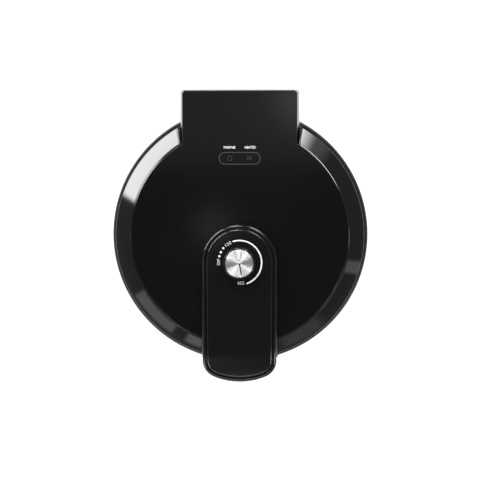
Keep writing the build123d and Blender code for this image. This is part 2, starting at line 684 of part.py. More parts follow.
def lid_box(grow):
    """The rear box, made larger on every side by grow. Its sides lean in below the top."""
    half = BOX_W / 2 + grow
    rear = BOX_REAR_Y + grow
    plan = profile(
        [(-half, BOX_FRONT_Y), (half, BOX_FRONT_Y), (half, rear), (-half, rear)],
        rounds=[((half, rear), BOX_CORNER_R + grow), ((-half, rear), BOX_CORNER_R + grow)])
    draft = math.degrees(math.atan(BOX_DRAFT / BOX_BEVEL_H))
    upper = Pos(0, 0, BOX_SHOULDER_Z) * extrude(plan, BOX_BEVEL_H, taper=draft)
    return upper + Pos(0, 0, BOX_LOW_Z) * extrude(plan, BOX_SHOULDER_Z - BOX_LOW_Z)


def plate_room():
    """The room that the lid's plate, liner and reflector take, with clearance."""
    return turned(
        [(0, 0), (LID_R, 0), (LID_R, LINER_TOP_Z + FIT), (SEAT_R, LINER_TOP_Z + FIT),
         (SEAT_R, UPPER_BACK_Z + 1), (REFLECTOR_R + 1.5, UPPER_BACK_Z + 3),
         (REFLECTOR_R + 1.5, UPPER_REFLECTOR_Z + REFLECTOR_T), (REFLECTOR_FLAT_R, COVER_RIM_Z - LEDGE_T - 1),
         (0, COVER_RIM_Z - LEDGE_T - 1)])


def lid_top_cover():
    disc = turned(
        [(0, COVER_UNDER_Z), (LEDGE_R, COVER_UNDER_Z), (LEDGE_R, COVER_RIM_Z), (TOP_R - SEAM, COVER_RIM_Z),
         (TOP_R - SEAM, TOP_Z), (0, TOP_Z)])
    box = lid_box(0)
    roof_edges = [e for e in box.edges() if e.center().Z > TOP_Z - 0.01 and e.center().Y > BOX_FRONT_Y + 1]
    box = fillet(roof_edges, BOX_EDGE_R)
    front_y = math.sqrt((TOP_R - SEAM) ** 2 - (BOX_W / 2 - BOX_DRAFT) ** 2)
    inside = lid_box(-WALL) & block(-BOX_W, BOX_W, 0, BOX_REAR_Y, 0, COVER_UNDER_Z)
    box -= inside
    box -= block(-BOX_W, BOX_W, 0, BOX_FRONT_Y + WALL, 0, COVER_UNDER_Z)
    box -= block(-BOX_W, BOX_W, 0, front_y, 0, COVER_RIM_Z)
    box -= plate_room()
    cover = disc - inside + box
    for x, y in arm_screw_places():
        cover += post(x, y, ARM_FLANGE_Z + ARM_T, COVER_UNDER_Z + 1, SCREW_HEAD_R + WALL / 2)
        cover -= post(x, y, ARM_FLANGE_Z, TOP_Z - 1, SCREW_R + PIN_CLEAR)
    cover -= Pos(0, WINDOW_Y, TOP_Z - WINDOW_T - SNUG) * extrude(SlotOverall(WINDOW_L, WINDOW_W), WALL)
    hole = SlotOverall(WINDOW_L - 2 * WINDOW_SEAT, WINDOW_W - 2 * WINDOW_SEAT)
    cover -= Pos(0, WINDOW_Y, COVER_UNDER_Z - 1) * extrude(hole, WALL + 2)
    cover -= post(0, KNOB_Y, COVER_UNDER_Z - 1, TOP_Z + 1, THERMOSTAT_HOLE_R)
    for x in (-SCREW_X, SCREW_X):
        for y in HANDLE_SCREW_YS:
            cover -= post(x, y, COVER_UNDER_Z - 1, TOP_Z + 1, SCREW_HOLE_R)
    for x, y in cover_screw_places():
        cover -= post(x, y, COVER_RIM_Z - 1, TOP_Z - 1, SCREW_R + PIN_CLEAR)
    return cover


def arm_screw_places():
    x = ARM_OUTER_X - ARM_FLANGE_W + ARM_SCREW_INSET
    ends = (ARM_SCREW_INSET, ARM_FLANGE_L - ARM_SCREW_INSET)
    return [(side * x, ARM_FRONT_Y + along) for side in (-1, 1) for along in ends]


def cover_screw_places():
    """Places round the ring's ledge, clear of the rear box."""
    return [(x, y) for x, y in around(6, LEDGE_R + LEDGE_W / 2, 30) if y < BOX_FRONT_Y]


def ring_end_x(y):
    """The ring's cut end leans away from the box's side as it runs to the rear."""
    start_x = BOX_W / 2 - BOX_DRAFT + FIT
    start_y = math.sqrt(TOP_R ** 2 - start_x ** 2)
    end_x = start_x + END_FLARE
    end_y = math.sqrt(BEVEL_R ** 2 - end_x ** 2)
    return start_x + (y - start_y) * (end_x - start_x) / (end_y - start_y)


def ring_gap(shift):
    """The wedge that is cut from the ring for the rear box, with its sides moved out by shift."""
    near = BOX_FRONT_Y - WALL
    far = BOX_REAR_Y
    return upright(
        [(-ring_end_x(near) - shift, near), (ring_end_x(near) + shift, near),
         (ring_end_x(far) + shift, far), (-ring_end_x(far) - shift, far)], 0, TOP_Z + 1)


def lid_bevel_ring():
    inner_top_r = TOP_R + (TOP_Z - BEVEL_WALL - COVER_RIM_Z + LEDGE_T) * BEVEL_W / BEVEL_H
    inner_r = BEVEL_R - WALL
    inner_z = bevel_z(inner_r) - BEVEL_WALL
    ledge_z = COVER_RIM_Z - LEDGE_T
    section = [(TOP_R, TOP_Z), (BEVEL_R, BEVEL_Z), (LID_R, SKIRT_Z), (LID_R - WALL, SKIRT_Z),
               (inner_r, inner_z), (inner_top_r, ledge_z), (LEDGE_R, ledge_z), (LEDGE_R, COVER_RIM_Z),
               (TOP_R, COVER_RIM_Z)]
    ring = turned(section)
    web = turned([(inner_top_r, ledge_z + 0.5), (inner_r + 0.5, inner_z + 0.5),
                  (LID_R - WALL + 0.5, LINER_TOP_Z + FIT), (inner_top_r, LINER_TOP_Z + FIT)])
    ring += (web - plate_room()) & (ring_gap(WALL) - ring_gap(0))
    ring -= ring_gap(0)
    ring -= lid_box(FIT)
    for x, y in plate_screw_places():
        angle = math.degrees(math.atan2(y, x))
        tab = block(SEAT_R + FIT, LID_R - WALL + 0.5, -6, 6, LINER_TOP_Z, LINER_TOP_Z + WALL)
        ring += Rot(0, 0, angle) * tab
        ring -= post(x, y, LINER_TOP_Z - 1, LINER_TOP_Z + WALL + 1, SCREW_HOLE_R)
    for x, y in cover_screw_places():
        ring -= post(x, y, ledge_z - 1, COVER_RIM_Z + 1, SCREW_HOLE_R)
    return ring


def lid_liner():
    """The ring between the upper plate and the bevel ring, seen from below when the lid is up."""
    liner = turned(
        [(SEAT_R, UPPER_SEAT_Z), (REBATE_R, UPPER_SEAT_Z), (REBATE_R, LINER_Z), (LID_R - FIT, LINER_Z),
         (LID_R - FIT, SKIRT_Z), (LID_R - WALL - FIT, SKIRT_Z), (LID_R - WALL - FIT, LINER_TOP_Z),
         (SEAT_R, LINER_TOP_Z)])
    liner -= bar(-KNUCKLE_W / 2 - FIT, KNUCKLE_W / 2 + FIT, HINGE_Y, HINGE_Z, BARREL_R + BARREL_GAP / 2)
    liner -= block(-NOTCH_X, NOTCH_X, HINGE_Y - BARREL_R - BARREL_GAP / 2, BOX_REAR_Y, LINER_Z - 1, TOP_Z)
    for x, y in plate_screw_places():
        liner -= post(x, y, UPPER_SEAT_Z - 1, LINER_TOP_Z + 1, SCREW_HOLE_R)
    return liner


def lid_hinge_arms():
    """Bent steel arms: a flange under the box's roof and an eye round the pin."""
    flange_z = ARM_FLANGE_Z
    top = flange_z + ARM_T
    outer = ARM_OUTER_X
    web = along_x(
        [(ARM_FRONT_Y, flange_z), (HINGE_Y - 0.7 * ARM_REACH, flange_z - WALL),
         (HINGE_Y - 2.5 * ARM_EYE_R, HINGE_Z + 0.9 * ARM_EYE_R),
         (HINGE_Y - ARM_EYE_R / 2, HINGE_Z - 0.8 * ARM_EYE_R),
         (HINGE_Y + 0.8 * ARM_EYE_R, HINGE_Z + ARM_EYE_R / 2),
         (HINGE_Y - ARM_TAIL, top), (ARM_FRONT_Y, top)],
        ARM_X, outer)
    arm = web + bar(ARM_X, outer, HINGE_Y, HINGE_Z, ARM_EYE_R)
    arm += block(outer - ARM_FLANGE_W, outer, ARM_FRONT_Y, ARM_FRONT_Y + ARM_FLANGE_L, flange_z, top)
    arm -= bar(ARM_X - 1, outer + 1, HINGE_Y, HINGE_Z, PIN_R + PIN_CLEAR + BUSH_T)
    arm = both_sides(arm)
    for x, y in arm_screw_places():
        arm -= post(x, y, flange_z - 1, top + 1, SCREW_HOLE_R)
    return arm


def hinge_bushes():
    outer_r = PIN_R + PIN_CLEAR + BUSH_T
    end = ARM_OUTER_X + SNUG
    bush = bar(BUSH_X, end, HINGE_Y, HINGE_Z, outer_r)
    bush += bar(BUSH_X, BUSH_X + BUSH_FLANGE_T, HINGE_Y, HINGE_Z, BUSH_FLANGE_R)
    bush -= bar(BUSH_X - 1, end + 1, HINGE_Y, HINGE_Z, PIN_R + PIN_CLEAR)
    return both_sides(bush)


def hinge_pins():
    """Headed tubular pins: the leads to the lid run through the left one."""
    inner = KNUCKLE_W / 2 - PIN_GRIP
    pin = bar(inner, PIN_HEAD_X, HINGE_Y, HINGE_Z, PIN_R)
    pin += bar(PIN_HEAD_X, PIN_HEAD_X + PIN_HEAD_T, HINGE_Y, HINGE_Z, PIN_HEAD_R)
    pin -= bar(inner - 1, PIN_HEAD_X + PIN_HEAD_T + 1, HINGE_Y, HINGE_Z, PIN_R / 2)
    return both_sides(pin)


def arm_screws():
    return [screw(x, y, ARM_FLANGE_Z, TOP_Z - 1.5) for x, y in arm_screw_places()]


def cover_screws():
    return [screw(x, y, COVER_RIM_Z - LEDGE_T, TOP_Z - 1.5) for x, y in cover_screw_places()]


def indicator_window():
    lens = extrude(SlotOverall(WINDOW_L - 2 * SNUG, WINDOW_W - 2 * SNUG), WINDOW_T)
    return Pos(0, WINDOW_Y, TOP_Z - WINDOW_T) * lens


def lamp_holder():
    half_x = WINDOW_L / 2
    half_y = WINDOW_W / 2
    low = COVER_UNDER_Z - HOLDER_H
    tray = block(-half_x, half_x, WINDOW_Y - half_y, WINDOW_Y + half_y, low, COVER_UNDER_Z)
    tray -= block(-half_x + HOLDER_WALL, half_x - HOLDER_WALL, WINDOW_Y - half_y + HOLDER_WALL,
                  WINDOW_Y + half_y - HOLDER_WALL, low + HOLDER_WALL, COVER_UNDER_Z + 1)
    return tray


def indicator_lamps():
    low = COVER_UNDER_Z - HOLDER_H + HOLDER_WALL
    lamps = []
    for x in (-LAMP_X, LAMP_X):
        bulb = post(x, WINDOW_Y, low, low + LAMP_H - LAMP_R, LAMP_R)
        lamps.append(bulb + Pos(x, WINDOW_Y, low + LAMP_H - LAMP_R) * Sphere(LAMP_R))
    return lamps


# Handle

def handle_outline(inset):
    """The handle seen from above: a round inner end, straight sides and a bowed front."""
    half = HANDLE_W / 2 - inset
    tail = half - HANDLE_TAPER
    front_r = HANDLE_FRONT_R - inset
    bow = front_r - math.sqrt(front_r ** 2 - tail ** 2)
    front_y = HANDLE_FRONT_Y + inset
    corner_y = front_y + bow
    lines = [
        ThreePointArc((half, KNOB_Y), (0, KNOB_Y + half), (-half, KNOB_Y)),
        Line((-half, KNOB_Y), (-tail, corner_y)),
        ThreePointArc((-tail, corner_y), (0, front_y), (tail, corner_y)),
        Line((tail, corner_y), (half, KNOB_Y))]
    face = make_face(lines)
    for side in (-1, 1):
        vertex = face.vertices().sort_by_distance((side * tail, corner_y, 0))[0]
        face = fillet(vertex, HANDLE_CORNER_R - inset)
    return face


def handle_prism(inset, low, high):
    return Pos(0, 0, low) * extrude(handle_outline(inset), high - low)


def handle_side(shift, low):
    """Everything below the handle's top surface, seen from the side, moved up by shift."""
    reach = HANDLE_BEND_Y - HANDLE_FRONT_Y
    radius = (reach ** 2 + HANDLE_DROP ** 2) / (2 * HANDLE_DROP)
    back_y = KNOB_Y + HANDLE_W
    far_y = HANDLE_FRONT_Y - 5

    def top_z(y):
        return HANDLE_Z - radius + math.sqrt((radius + shift) ** 2 - (HANDLE_BEND_Y - y) ** 2)

    middle_y = (HANDLE_BEND_Y + far_y) / 2
    lines = [
        Line((back_y, low), (back_y, HANDLE_Z + shift)),
        Line((back_y, HANDLE_Z + shift), (HANDLE_BEND_Y, HANDLE_Z + shift)),
        ThreePointArc((HANDLE_BEND_Y, HANDLE_Z + shift), (middle_y, top_z(middle_y)), (far_y, top_z(far_y))),
        Line((far_y, top_z(far_y)), (far_y, low)),
        Line((far_y, low), (back_y, low))]
    side = Plane.YZ * make_face(lines)
    return Pos(-HANDLE_W, 0, 0) * extrude(side, 2 * HANDLE_W)


def lid_envelope():
    """The lid's round outside, a hair larger, for what is shaped to lie on it."""
    return turned(
        [(0, 0), (LID_R + SNUG, 0), (LID_R + SNUG, SKIRT_Z), (BEVEL_R + SNUG, BEVEL_Z),
         (TOP_R + SNUG, TOP_Z), (0, TOP_Z)])


def handle_body():
    body = handle_prism(0, SPLIT_Z, HANDLE_Z + 1) & handle_side(0, SPLIT_Z - 1)
    rim = [e for e in body.edges() if e.center().Z > HANDLE_Z - HANDLE_DROP - 1 and e.length > 1
           and not (abs(e.center().Y - HANDLE_BEND_Y) < 0.01 and abs(e.center().X) < 1)
           and min(e.start_point().Z, e.end_point().Z) > HANDLE_Z - HANDLE_DROP - 1]
    body = fillet(rim, HANDLE_EDGE_R)
    hollow = handle_prism(HANDLE_WALL, 0, HANDLE_Z + 1) & handle_side(-HANDLE_TOP_T, -1)
    body -= hollow
    for x, y in handle_screw_places():
        body += post(x, y, TOP_Z, HANDLE_Z - HANDLE_TOP_T + 0.5, SCREW_HEAD_R + 1)
    for x in (-SCREW_X, SCREW_X):
        body += post(x, GRIP_SCREW_Y, SPLIT_Z, HANDLE_Z - HANDLE_TOP_T - HANDLE_DROP / 2, SCREW_HEAD_R + 1)
    body -= lid_envelope()
    body -= handle_prism(PANEL_INSET - FIT, SPLIT_Z, HANDLE_Z + 5) - handle_side(-PANEL_DEEP, 0)
    body -= post(0, KNOB_Y, TOP_Z, HANDLE_Z + 1, SHAFT_R + 0.6)
    for x, y in handle_screw_places():
        body -= post(x, y, TOP_Z - 1, HANDLE_Z - HANDLE_TOP_T, SCREW_R + PIN_CLEAR)
    for x in (-SCREW_X, SCREW_X):
        body -= post(x, GRIP_SCREW_Y, SPLIT_Z - 1, SPLIT_Z + GRIP_SCREW_BITE + 1, SCREW_R + PIN_CLEAR)
    return body


def handle_screw_places():
    return [(x, y) for x in (-SCREW_X, SCREW_X) for y in HANDLE_SCREW_YS]


def handle_top_panel():
    panel = handle_prism(PANEL_INSET, SPLIT_Z, HANDLE_Z + 5) & handle_side(PANEL_PROUD, 0)
    panel -= handle_side(-PANEL_DEEP, -1)
    return panel - post(0, KNOB_Y, TOP_Z, PANEL_Z + 1, SHAFT_R + 0.6)


def grip_underside():
    """The tray that closes the handle's overhang from below."""
    low = SPLIT_Z - GRIP_TRAY_H
    tray = handle_prism(0, low, SPLIT_Z)
    rim = [e for e in tray.edges() if e.center().Z < low + 0.01]
    tray = fillet(rim, GRIP_LOW_R)
    tray -= handle_prism(HANDLE_WALL, low + HANDLE_WALL, SPLIT_Z + 1)
    for x in (-SCREW_X, SCREW_X):
        tray += post(x, GRIP_SCREW_Y, low + 1, SPLIT_Z, SCREW_HEAD_R + 1.5)
        tray -= post(x, GRIP_SCREW_Y, low - 1, SPLIT_Z + 1, SCREW_HOLE_R)
        tray -= post(x, GRIP_SCREW_Y, low - 1, low + SCREW_HEAD_H + 0.5, SCREW_HEAD_R + SNUG)
    return tray - lid_envelope()


def handle_screws():
    return [screw(x, y, COVER_UNDER_Z, HANDLE_Z - HANDLE_TOP_T - 1) for x, y in handle_screw_places()]


def grip_screws():
    seat = SPLIT_Z - GRIP_TRAY_H + SCREW_HEAD_H + 0.5
    return [screw(x, GRIP_SCREW_Y, seat, SPLIT_Z + GRIP_SCREW_BITE) for x in (-SCREW_X, SCREW_X)]


# Thermostat and knob

def thermostat_body():
    low = TOP_Z - THERMOSTAT_H
    body = post(0, KNOB_Y, low, TOP_Z, THERMOSTAT_R) + post(0, KNOB_Y, TOP_Z, TOP_Z + NECK_H, NECK_R)
    return body - post(0, KNOB_Y, low + THERMOSTAT_H / 3, TOP_Z + NECK_H + 1, SHAFT_R + PIN_CLEAR)


def thermostat_bracket():
    half_x = BRACKET_L / 2
    half_y = BRACKET_W / 2
    plate = block(-half_x, half_x, KNOB_Y - half_y, KNOB_Y + half_y, TOP_Z, TOP_Z + BRACKET_T)
    return plate - post(0, KNOB_Y, TOP_Z - 1, TOP_Z + BRACKET_T + 1, NECK_R + SNUG)


def thermostat_nut():
    low = TOP_Z + BRACKET_T
    nut = Pos(0, KNOB_Y, low) * extrude(RegularPolygon(NUT_R, 6), NUT_H)
    return nut - post(0, KNOB_Y, low - 1, low + NUT_H + 1, NECK_R + SNUG)


def thermostat_shaft():
    low = TOP_Z - THERMOSTAT_H + THERMOSTAT_H / 3 + FIT
    top = KNOB_TOP_Z - CAP_SINK - 2 * FIT - KNOB_WALL
    shaft = post(0, KNOB_Y, low, top, SHAFT_R)
    flat = block(-SHAFT_R, SHAFT_R, KNOB_Y + SHAFT_R - SHAFT_FLAT, KNOB_Y + SHAFT_R + 1, KNOB_Z, top + 1)
    return shaft - flat


def knob_body():
    seat = KNOB_TOP_Z - CAP_SINK
    cap_r = CAP_R + SNUG
    under = seat - KNOB_WALL
    knob = turned(
        [(0, KNOB_Z), (KNOB_R, KNOB_Z), (KNOB_R, KNOB_Z + KNOB_SKIRT_H), (KNOB_TOP_R, KNOB_TOP_Z),
         (cap_r, KNOB_TOP_Z), (cap_r, seat), (0, seat)])
    knob -= turned(
        [(KNOB_HUB_R, KNOB_Z - 1), (KNOB_TOP_R - KNOB_WALL, KNOB_Z - 1), (KNOB_TOP_R - KNOB_WALL, under),
         (KNOB_HUB_R, under)])
    knob = Pos(0, KNOB_Y, 0) * knob
    bore = post(0, KNOB_Y, KNOB_Z - 1, under, SHAFT_R + PIN_CLEAR / 2)
    lug = block(-SHAFT_R, SHAFT_R, KNOB_Y + SHAFT_R - SHAFT_FLAT + PIN_CLEAR / 2, KNOB_Y + 2 * SHAFT_R,
                KNOB_Z - 2, under + 1)
    return knob - (bore - lug)


def pointer_bar(grow, low, high):
    half = POINTER_W / 2 + grow
    bar_shape = block(0, POINTER_L + grow, -half, half, low, high)
    return Pos(0, KNOB_Y, 0) * Rot(0, 0, POINTER_DEG) * bar_shape


def knob_cap():
    """The spun metal disc let into the knob's top."""
    low = KNOB_TOP_Z - CAP_SINK
    cap = Pos(0, KNOB_Y, 0) * turned(
        [(0, low), (CAP_R, low), (CAP_R, low + CAP_T - 0.5), (CAP_R - 0.5, low + CAP_T), (0, low + CAP_T)])
    top = low + CAP_T
    return cap - pointer_bar(PIN_CLEAR, top - POINTER_T, top + 1)


def knob_pointer():
    top = KNOB_TOP_Z - CAP_SINK + CAP_T
    return pointer_bar(0, top - POINTER_T, top)


# Leads

def base_wiring():
    """From the inlet to the terminals, from the terminals to the element, and up into the hinge."""
    top = TERMINAL_Z + TERMINAL_H + 2 * SNUG
    side = []
    for x in (-ELEMENT_END_X, ELEMENT_END_X):
        side.append(wire((x, ELEMENT_END_Y + FIT, LOWER_ELEMENT_Z), (x, TERMINAL_Y, LOWER_ELEMENT_Z),
                         (x, TERMINAL_Y, top), radii=6))
    edge = -TERMINAL_L / 2 - SNUG
    inlet_y = DECK_Y - WALL - GLAND_FLANGE_T - SNUG
    side.append(wire((CORD_X, inlet_y, CORD_Z), (CORD_X, TERMINAL_Y, CORD_Z), (edge, TERMINAL_Y, CORD_Z),
                     radii=6))
    side.append(wire((0, TERMINAL_Y, top), LEAD_FOOT, LEAD_HEAD, (-PIN_HEAD_X, HINGE_Y, HINGE_Z),
                     radii=[4, 6]))
    return side


def lid_wiring():
    """From the hinge to the thermostat, and from it to the element and the lamps."""
    beside_arm = PIN_HEAD_X + PIN_HEAD_T + LEAD_ROOM / 2 + WIRE_R / 2
    high = (UPPER_REFLECTOR_Z + REFLECTOR_T + COVER_UNDER_Z) / 2
    rim = THERMOSTAT_R + SNUG
    main = wire(
        (-PIN_HEAD_X - FIT, HINGE_Y, HINGE_Z), (-beside_arm, HINGE_Y, HINGE_Z),
        (-beside_arm, HINGE_Y - BARREL_R, HINGE_Z + 2 * BARREL_R), (-beside_arm, BOX_FRONT_Y, high),
        (-40, 40, high), (-30, KNOB_Y, high), (-rim, KNOB_Y, high), radii=[3.4, 10, 20, 20, 8])
    feed = wire(
        (ELEMENT_END_X, ELEMENT_END_Y + FIT, UPPER_ELEMENT_Z), (ELEMENT_END_X, TERMINAL_Y - 3, UPPER_ELEMENT_Z),
        (ELEMENT_END_X, TERMINAL_Y - 3, high), (34, WINDOW_Y + 16, high), (34, KNOB_Y, high),
        (rim, KNOB_Y, high), radii=[6, 6, 12, 8])
    lamps = wire(
        (-ELEMENT_END_X, ELEMENT_END_Y + FIT, UPPER_ELEMENT_Z),
        (-ELEMENT_END_X, TERMINAL_Y - 9, UPPER_ELEMENT_Z),
        (-ELEMENT_END_X, TERMINAL_Y - 9, high), (-ELEMENT_END_X, WINDOW_Y + WINDOW_W / 2 + SNUG, high),
        radii=6)
    return [main, feed, lamps]


def save(shape, name):
    if isinstance(shape, list):
        shape = Compound(children=[solid for piece in shape for solid in piece.solids()])
    export_step(shape, f"parts/{name}.step")


os.makedirs("parts", exist_ok=True)

save(base_housing(), "base_housing")
save(base_bottom_cover(), "base_bottom_cover")
save(bottom_cover_screws(), "bottom_cover_screws")
save(rubber_feet(), "rubber_feet")
save(cord_inlet(), "cord_inlet")
save(terminal_block(), "terminal_block")
save(base_wiring(), "base_wiring")
save(lower_cooking_plate(), "lower_cooking_plate")
save(lower_plate_screws(), "lower_plate_screws")
save(heating_element(LOWER_ELEMENT_Z), "lower_heating_element")
save(element_clips(LOWER_BACK_Z, LOWER_ELEMENT_Z), "lower_element_clips")
save(reflector(LOWER_REFLECTOR_Z, 1), "lower_reflector")
save(lower_reflector_screws(), "lower_reflector_screws")
save(thermal_fuse(), "thermal_fuse")
save(hinge_pins(), "hinge_pins")
save(lid_top_cover(), "lid_top_cover")
save(lid_bevel_ring(), "lid_bevel_ring")
save(lid_liner(), "lid_liner")
save(lid_hinge_arms(), "lid_hinge_arms")
save(hinge_bushes(), "hinge_bushes")
save(arm_screws(), "arm_screws")
save(cover_screws(), "cover_screws")
save(upper_cooking_plate(), "upper_cooking_plate")
save(upper_plate_screws(), "upper_plate_screws")
save(heating_element(UPPER_ELEMENT_Z), "upper_heating_element")
save(element_clips(UPPER_BACK_Z, UPPER_ELEMENT_Z), "upper_element_clips")
save(reflector(UPPER_REFLECTOR_Z + REFLECTOR_T, -1), "upper_reflector")
save(upper_reflector_screws(), "upper_reflector_screws")
save(indicator_window(), "indicator_window")
save(lamp_holder(), "lamp_holder")
save(indicator_lamps(), "indicator_lamps")
save(handle_body(), "handle_body")
save(handle_top_panel(), "handle_top_panel")
save(grip_underside(), "grip_underside")
save(handle_screws(), "handle_screws")
save(grip_screws(), "grip_screws")
save(thermostat_body(), "thermostat_body")
save(thermostat_bracket(), "thermostat_bracket")
save(thermostat_nut(), "thermostat_nut")
save(lid_wiring(), "lid_wiring")
save(knob_body(), "knob_body")
save(knob_cap(), "knob_cap")
save(knob_pointer(), "knob_pointer")
save(thermostat_shaft(), "thermostat_shaft")
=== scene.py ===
import math

import bmesh
import bpy
from mathutils import Matrix, Vector


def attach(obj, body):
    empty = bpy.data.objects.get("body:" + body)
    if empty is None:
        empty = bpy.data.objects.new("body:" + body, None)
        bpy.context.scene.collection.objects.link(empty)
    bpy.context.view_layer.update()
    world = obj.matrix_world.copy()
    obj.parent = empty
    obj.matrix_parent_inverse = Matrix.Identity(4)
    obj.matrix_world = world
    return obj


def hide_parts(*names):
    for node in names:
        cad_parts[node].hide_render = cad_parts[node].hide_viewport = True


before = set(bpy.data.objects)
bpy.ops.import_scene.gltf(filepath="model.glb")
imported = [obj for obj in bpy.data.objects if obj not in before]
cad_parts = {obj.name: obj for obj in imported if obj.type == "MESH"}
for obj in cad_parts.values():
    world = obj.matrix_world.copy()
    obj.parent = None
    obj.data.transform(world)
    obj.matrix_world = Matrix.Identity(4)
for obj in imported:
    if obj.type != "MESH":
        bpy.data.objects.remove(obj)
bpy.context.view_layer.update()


# Base housing. A black polypropylene moulding with a fine spark-eroded grain: the bowl, its thin
# rim round the lid, the rear block with the hinge knuckle, and the grip under the lid's handle.
CREASE = math.radians(30)           # edges that turn further than this stay crisp
FRAME_CREASE = math.radians(32)     # the same, on the frame's own pieces
RIM_R, RIM_TOP, RIM_ROUNDING = 170.0, 50.0, 2.5
NIB = 0.03                          # the cutter starts this far off the rim's flat faces


def placed(name, data):
    """An object for a mesh, a light or a camera, linked into the scene."""
    piece = bpy.data.objects.new(name, data)
    bpy.context.collection.objects.link(piece)
    return piece


def plain_mesh(maker):
    """The mesh that an object makes once its modifiers or its type are worked out."""
    bpy.context.view_layer.update()
    return bpy.data.meshes.new_from_object(maker.evaluated_get(bpy.context.evaluated_depsgraph_get()))


def tidy_copy(node, name):
    """A merged, smoothly shaded copy of a frame piece, at the place of the piece itself."""
    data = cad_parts[node].data.copy()
    data.name = name
    data.materials.clear()
    bm = bmesh.new()
    bm.from_mesh(data)
    bmesh.ops.remove_doubles(bm, verts=bm.verts, dist=0.000004)
    bm.to_mesh(data)
    bm.free()
    data.shade_smooth()
    data.set_sharp_from_angle(angle=FRAME_CREASE)
    return placed(name, data)


def add(nodes, kind, settings):
    """A node with the inputs that settings names set to fixed values."""
    node = nodes.new(kind)
    for socket, value in settings.items():
        node.inputs[socket].default_value = value
    return node


def finish(name, colour, metal=0.0, rough=0.4, spread=0.06, grain=1800.0, bump=0.02, depth=0.00002,
           blotch=22.0, shift=0.12):
    """A moulded, plated or cast finish. Over patches of the scale that blotch gives, its colour
    drifts by the share shift and its roughness by spread. Fine grain breaks the gloss."""
    material = bpy.data.materials.new(name)
    material.use_nodes = True
    nodes, links = material.node_tree.nodes, material.node_tree.links
    shader = nodes["Principled BSDF"]
    shader.inputs["Metallic"].default_value = metal
    shader.inputs["IOR"].default_value = 1.47
    place = nodes.new("ShaderNodeTexCoord")
    drift = add(nodes, "ShaderNodeTexNoise", {"Scale": blotch, "Detail": 5.0})
    links.new(place.outputs["Object"], drift.inputs["Vector"])
    tint = nodes.new("ShaderNodeMix")
    tint.data_type = "RGBA"
    tint.inputs["A"].default_value = (*[c * (1 - shift) for c in colour], 1)
    tint.inputs["B"].default_value = (*[c * (1 + shift) for c in colour], 1)
    links.new(drift.outputs["Fac"], tint.inputs["Factor"])
    links.new(tint.outputs["Result"], shader.inputs["Base Color"])
    gloss = add(nodes, "ShaderNodeMapRange", {"From Min": 0.3, "From Max": 0.7, "To Max": rough + spread,
                                              "To Min": max(rough - spread, 0.01)})
    links.new(drift.outputs["Fac"], gloss.inputs["Value"])
    links.new(gloss.outputs["Result"], shader.inputs["Roughness"])
    pits = add(nodes, "ShaderNodeTexNoise", {"Scale": grain, "Detail": 2.0})
    links.new(place.outputs["Object"], pits.inputs["Vector"])
    relief = add(nodes, "ShaderNodeBump", {"Strength": bump, "Distance": depth})
    links.new(pits.outputs["Fac"], relief.inputs["Height"])
    links.new(relief.outputs["Normal"], shader.inputs["Normal"])
    return material


def make_piece(name, vertices, faces):
    """A skin from points in millimetres: merged, with its faces outwards, and smoothly shaded."""
    data = bpy.data.meshes.new(name)
    data.from_pydata([Vector(v) * 0.001 for v in vertices], [], faces)
    bm = bmesh.new()
    bm.from_mesh(data)
    bmesh.ops.remove_doubles(bm, verts=bm.verts, dist=0.000001)
    bmesh.ops.recalc_face_normals(bm, faces=bm.faces)
    bm.to_mesh(data)
    bm.free()
    data.shade_smooth()
    data.set_sharp_from_angle(angle=CREASE)
    return placed(name, data)


def turned(name, section, sides, y=0.0):
    """A closed (radius, height) section in millimetres, turned about an upright axis at y."""
    vertices, faces = [], []
    count = len(section)
    for side in range(sides):
        angle = 2 * math.pi * side / sides
        for radius, height in section:
            vertices.append((radius * math.cos(angle), y + radius * math.sin(angle), height))
    for side in range(sides):
        here, there = side * count, (side + 1) % sides * count
        for i in range(count):
            j = (i + 1) % count
            if section[i][0] == 0 and section[j][0] == 0:
                continue
            faces.append((here + i, there + i, there + j, here + j))
    return make_piece(name, vertices, faces)


def carve(piece, cutter):
    """Cuts the shape of one piece out of another, and takes the cutter away."""
    modifier = piece.modifiers.new("carve", "BOOLEAN")
    modifier.operation = "DIFFERENCE"
    modifier.solver = "EXACT"
    modifier.object = cutter
    made = plain_mesh(piece)
    piece.modifiers.clear()
    old = piece.data
    piece.data = made
    bpy.data.meshes.remove(old)
    bpy.data.objects.remove(cutter)
    piece.data.shade_smooth()
    piece.data.set_sharp_from_angle(angle=CREASE)


grained_black = finish("grained_black", (0.0085, 0.0085, 0.009), rough=0.42, spread=0.05, grain=2600,
                       bump=0.35, depth=0.00005)
housing = tidy_copy("base_housing", "base_housing_shell")
arc_r, arc_z = RIM_R - RIM_ROUNDING, RIM_TOP - RIM_ROUNDING
arc = [(arc_r + NIB + RIM_ROUNDING * math.sin(math.radians(a)),
        arc_z + NIB + RIM_ROUNDING * math.cos(math.radians(a))) for a in range(4, 91, 5)]
carve(housing, turned("rim_rounding", [(arc_r, RIM_TOP + 1)] + arc
                      + [(RIM_R + 1, arc_z), (RIM_R + 1, RIM_TOP + 1)], 360))
housing.data.materials.append(grained_black)
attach(housing, "base")
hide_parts("base_housing")


# Base underside. The round cover is pressed into the housing and screwed, with vent slots in the
# middle. It is the same grained moulding, a shade duller where the tool was left unpolished.
dull_black = finish("dull_black", (0.011, 0.011, 0.0115), rough=0.55, spread=0.05, grain=1500,
                    bump=0.45, depth=0.00008)
cover_plate = tidy_copy("base_bottom_cover", "bottom_cover_plate")
cover_plate.data.materials.append(dull_black)
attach(cover_plate, "base")
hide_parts("base_bottom_cover")


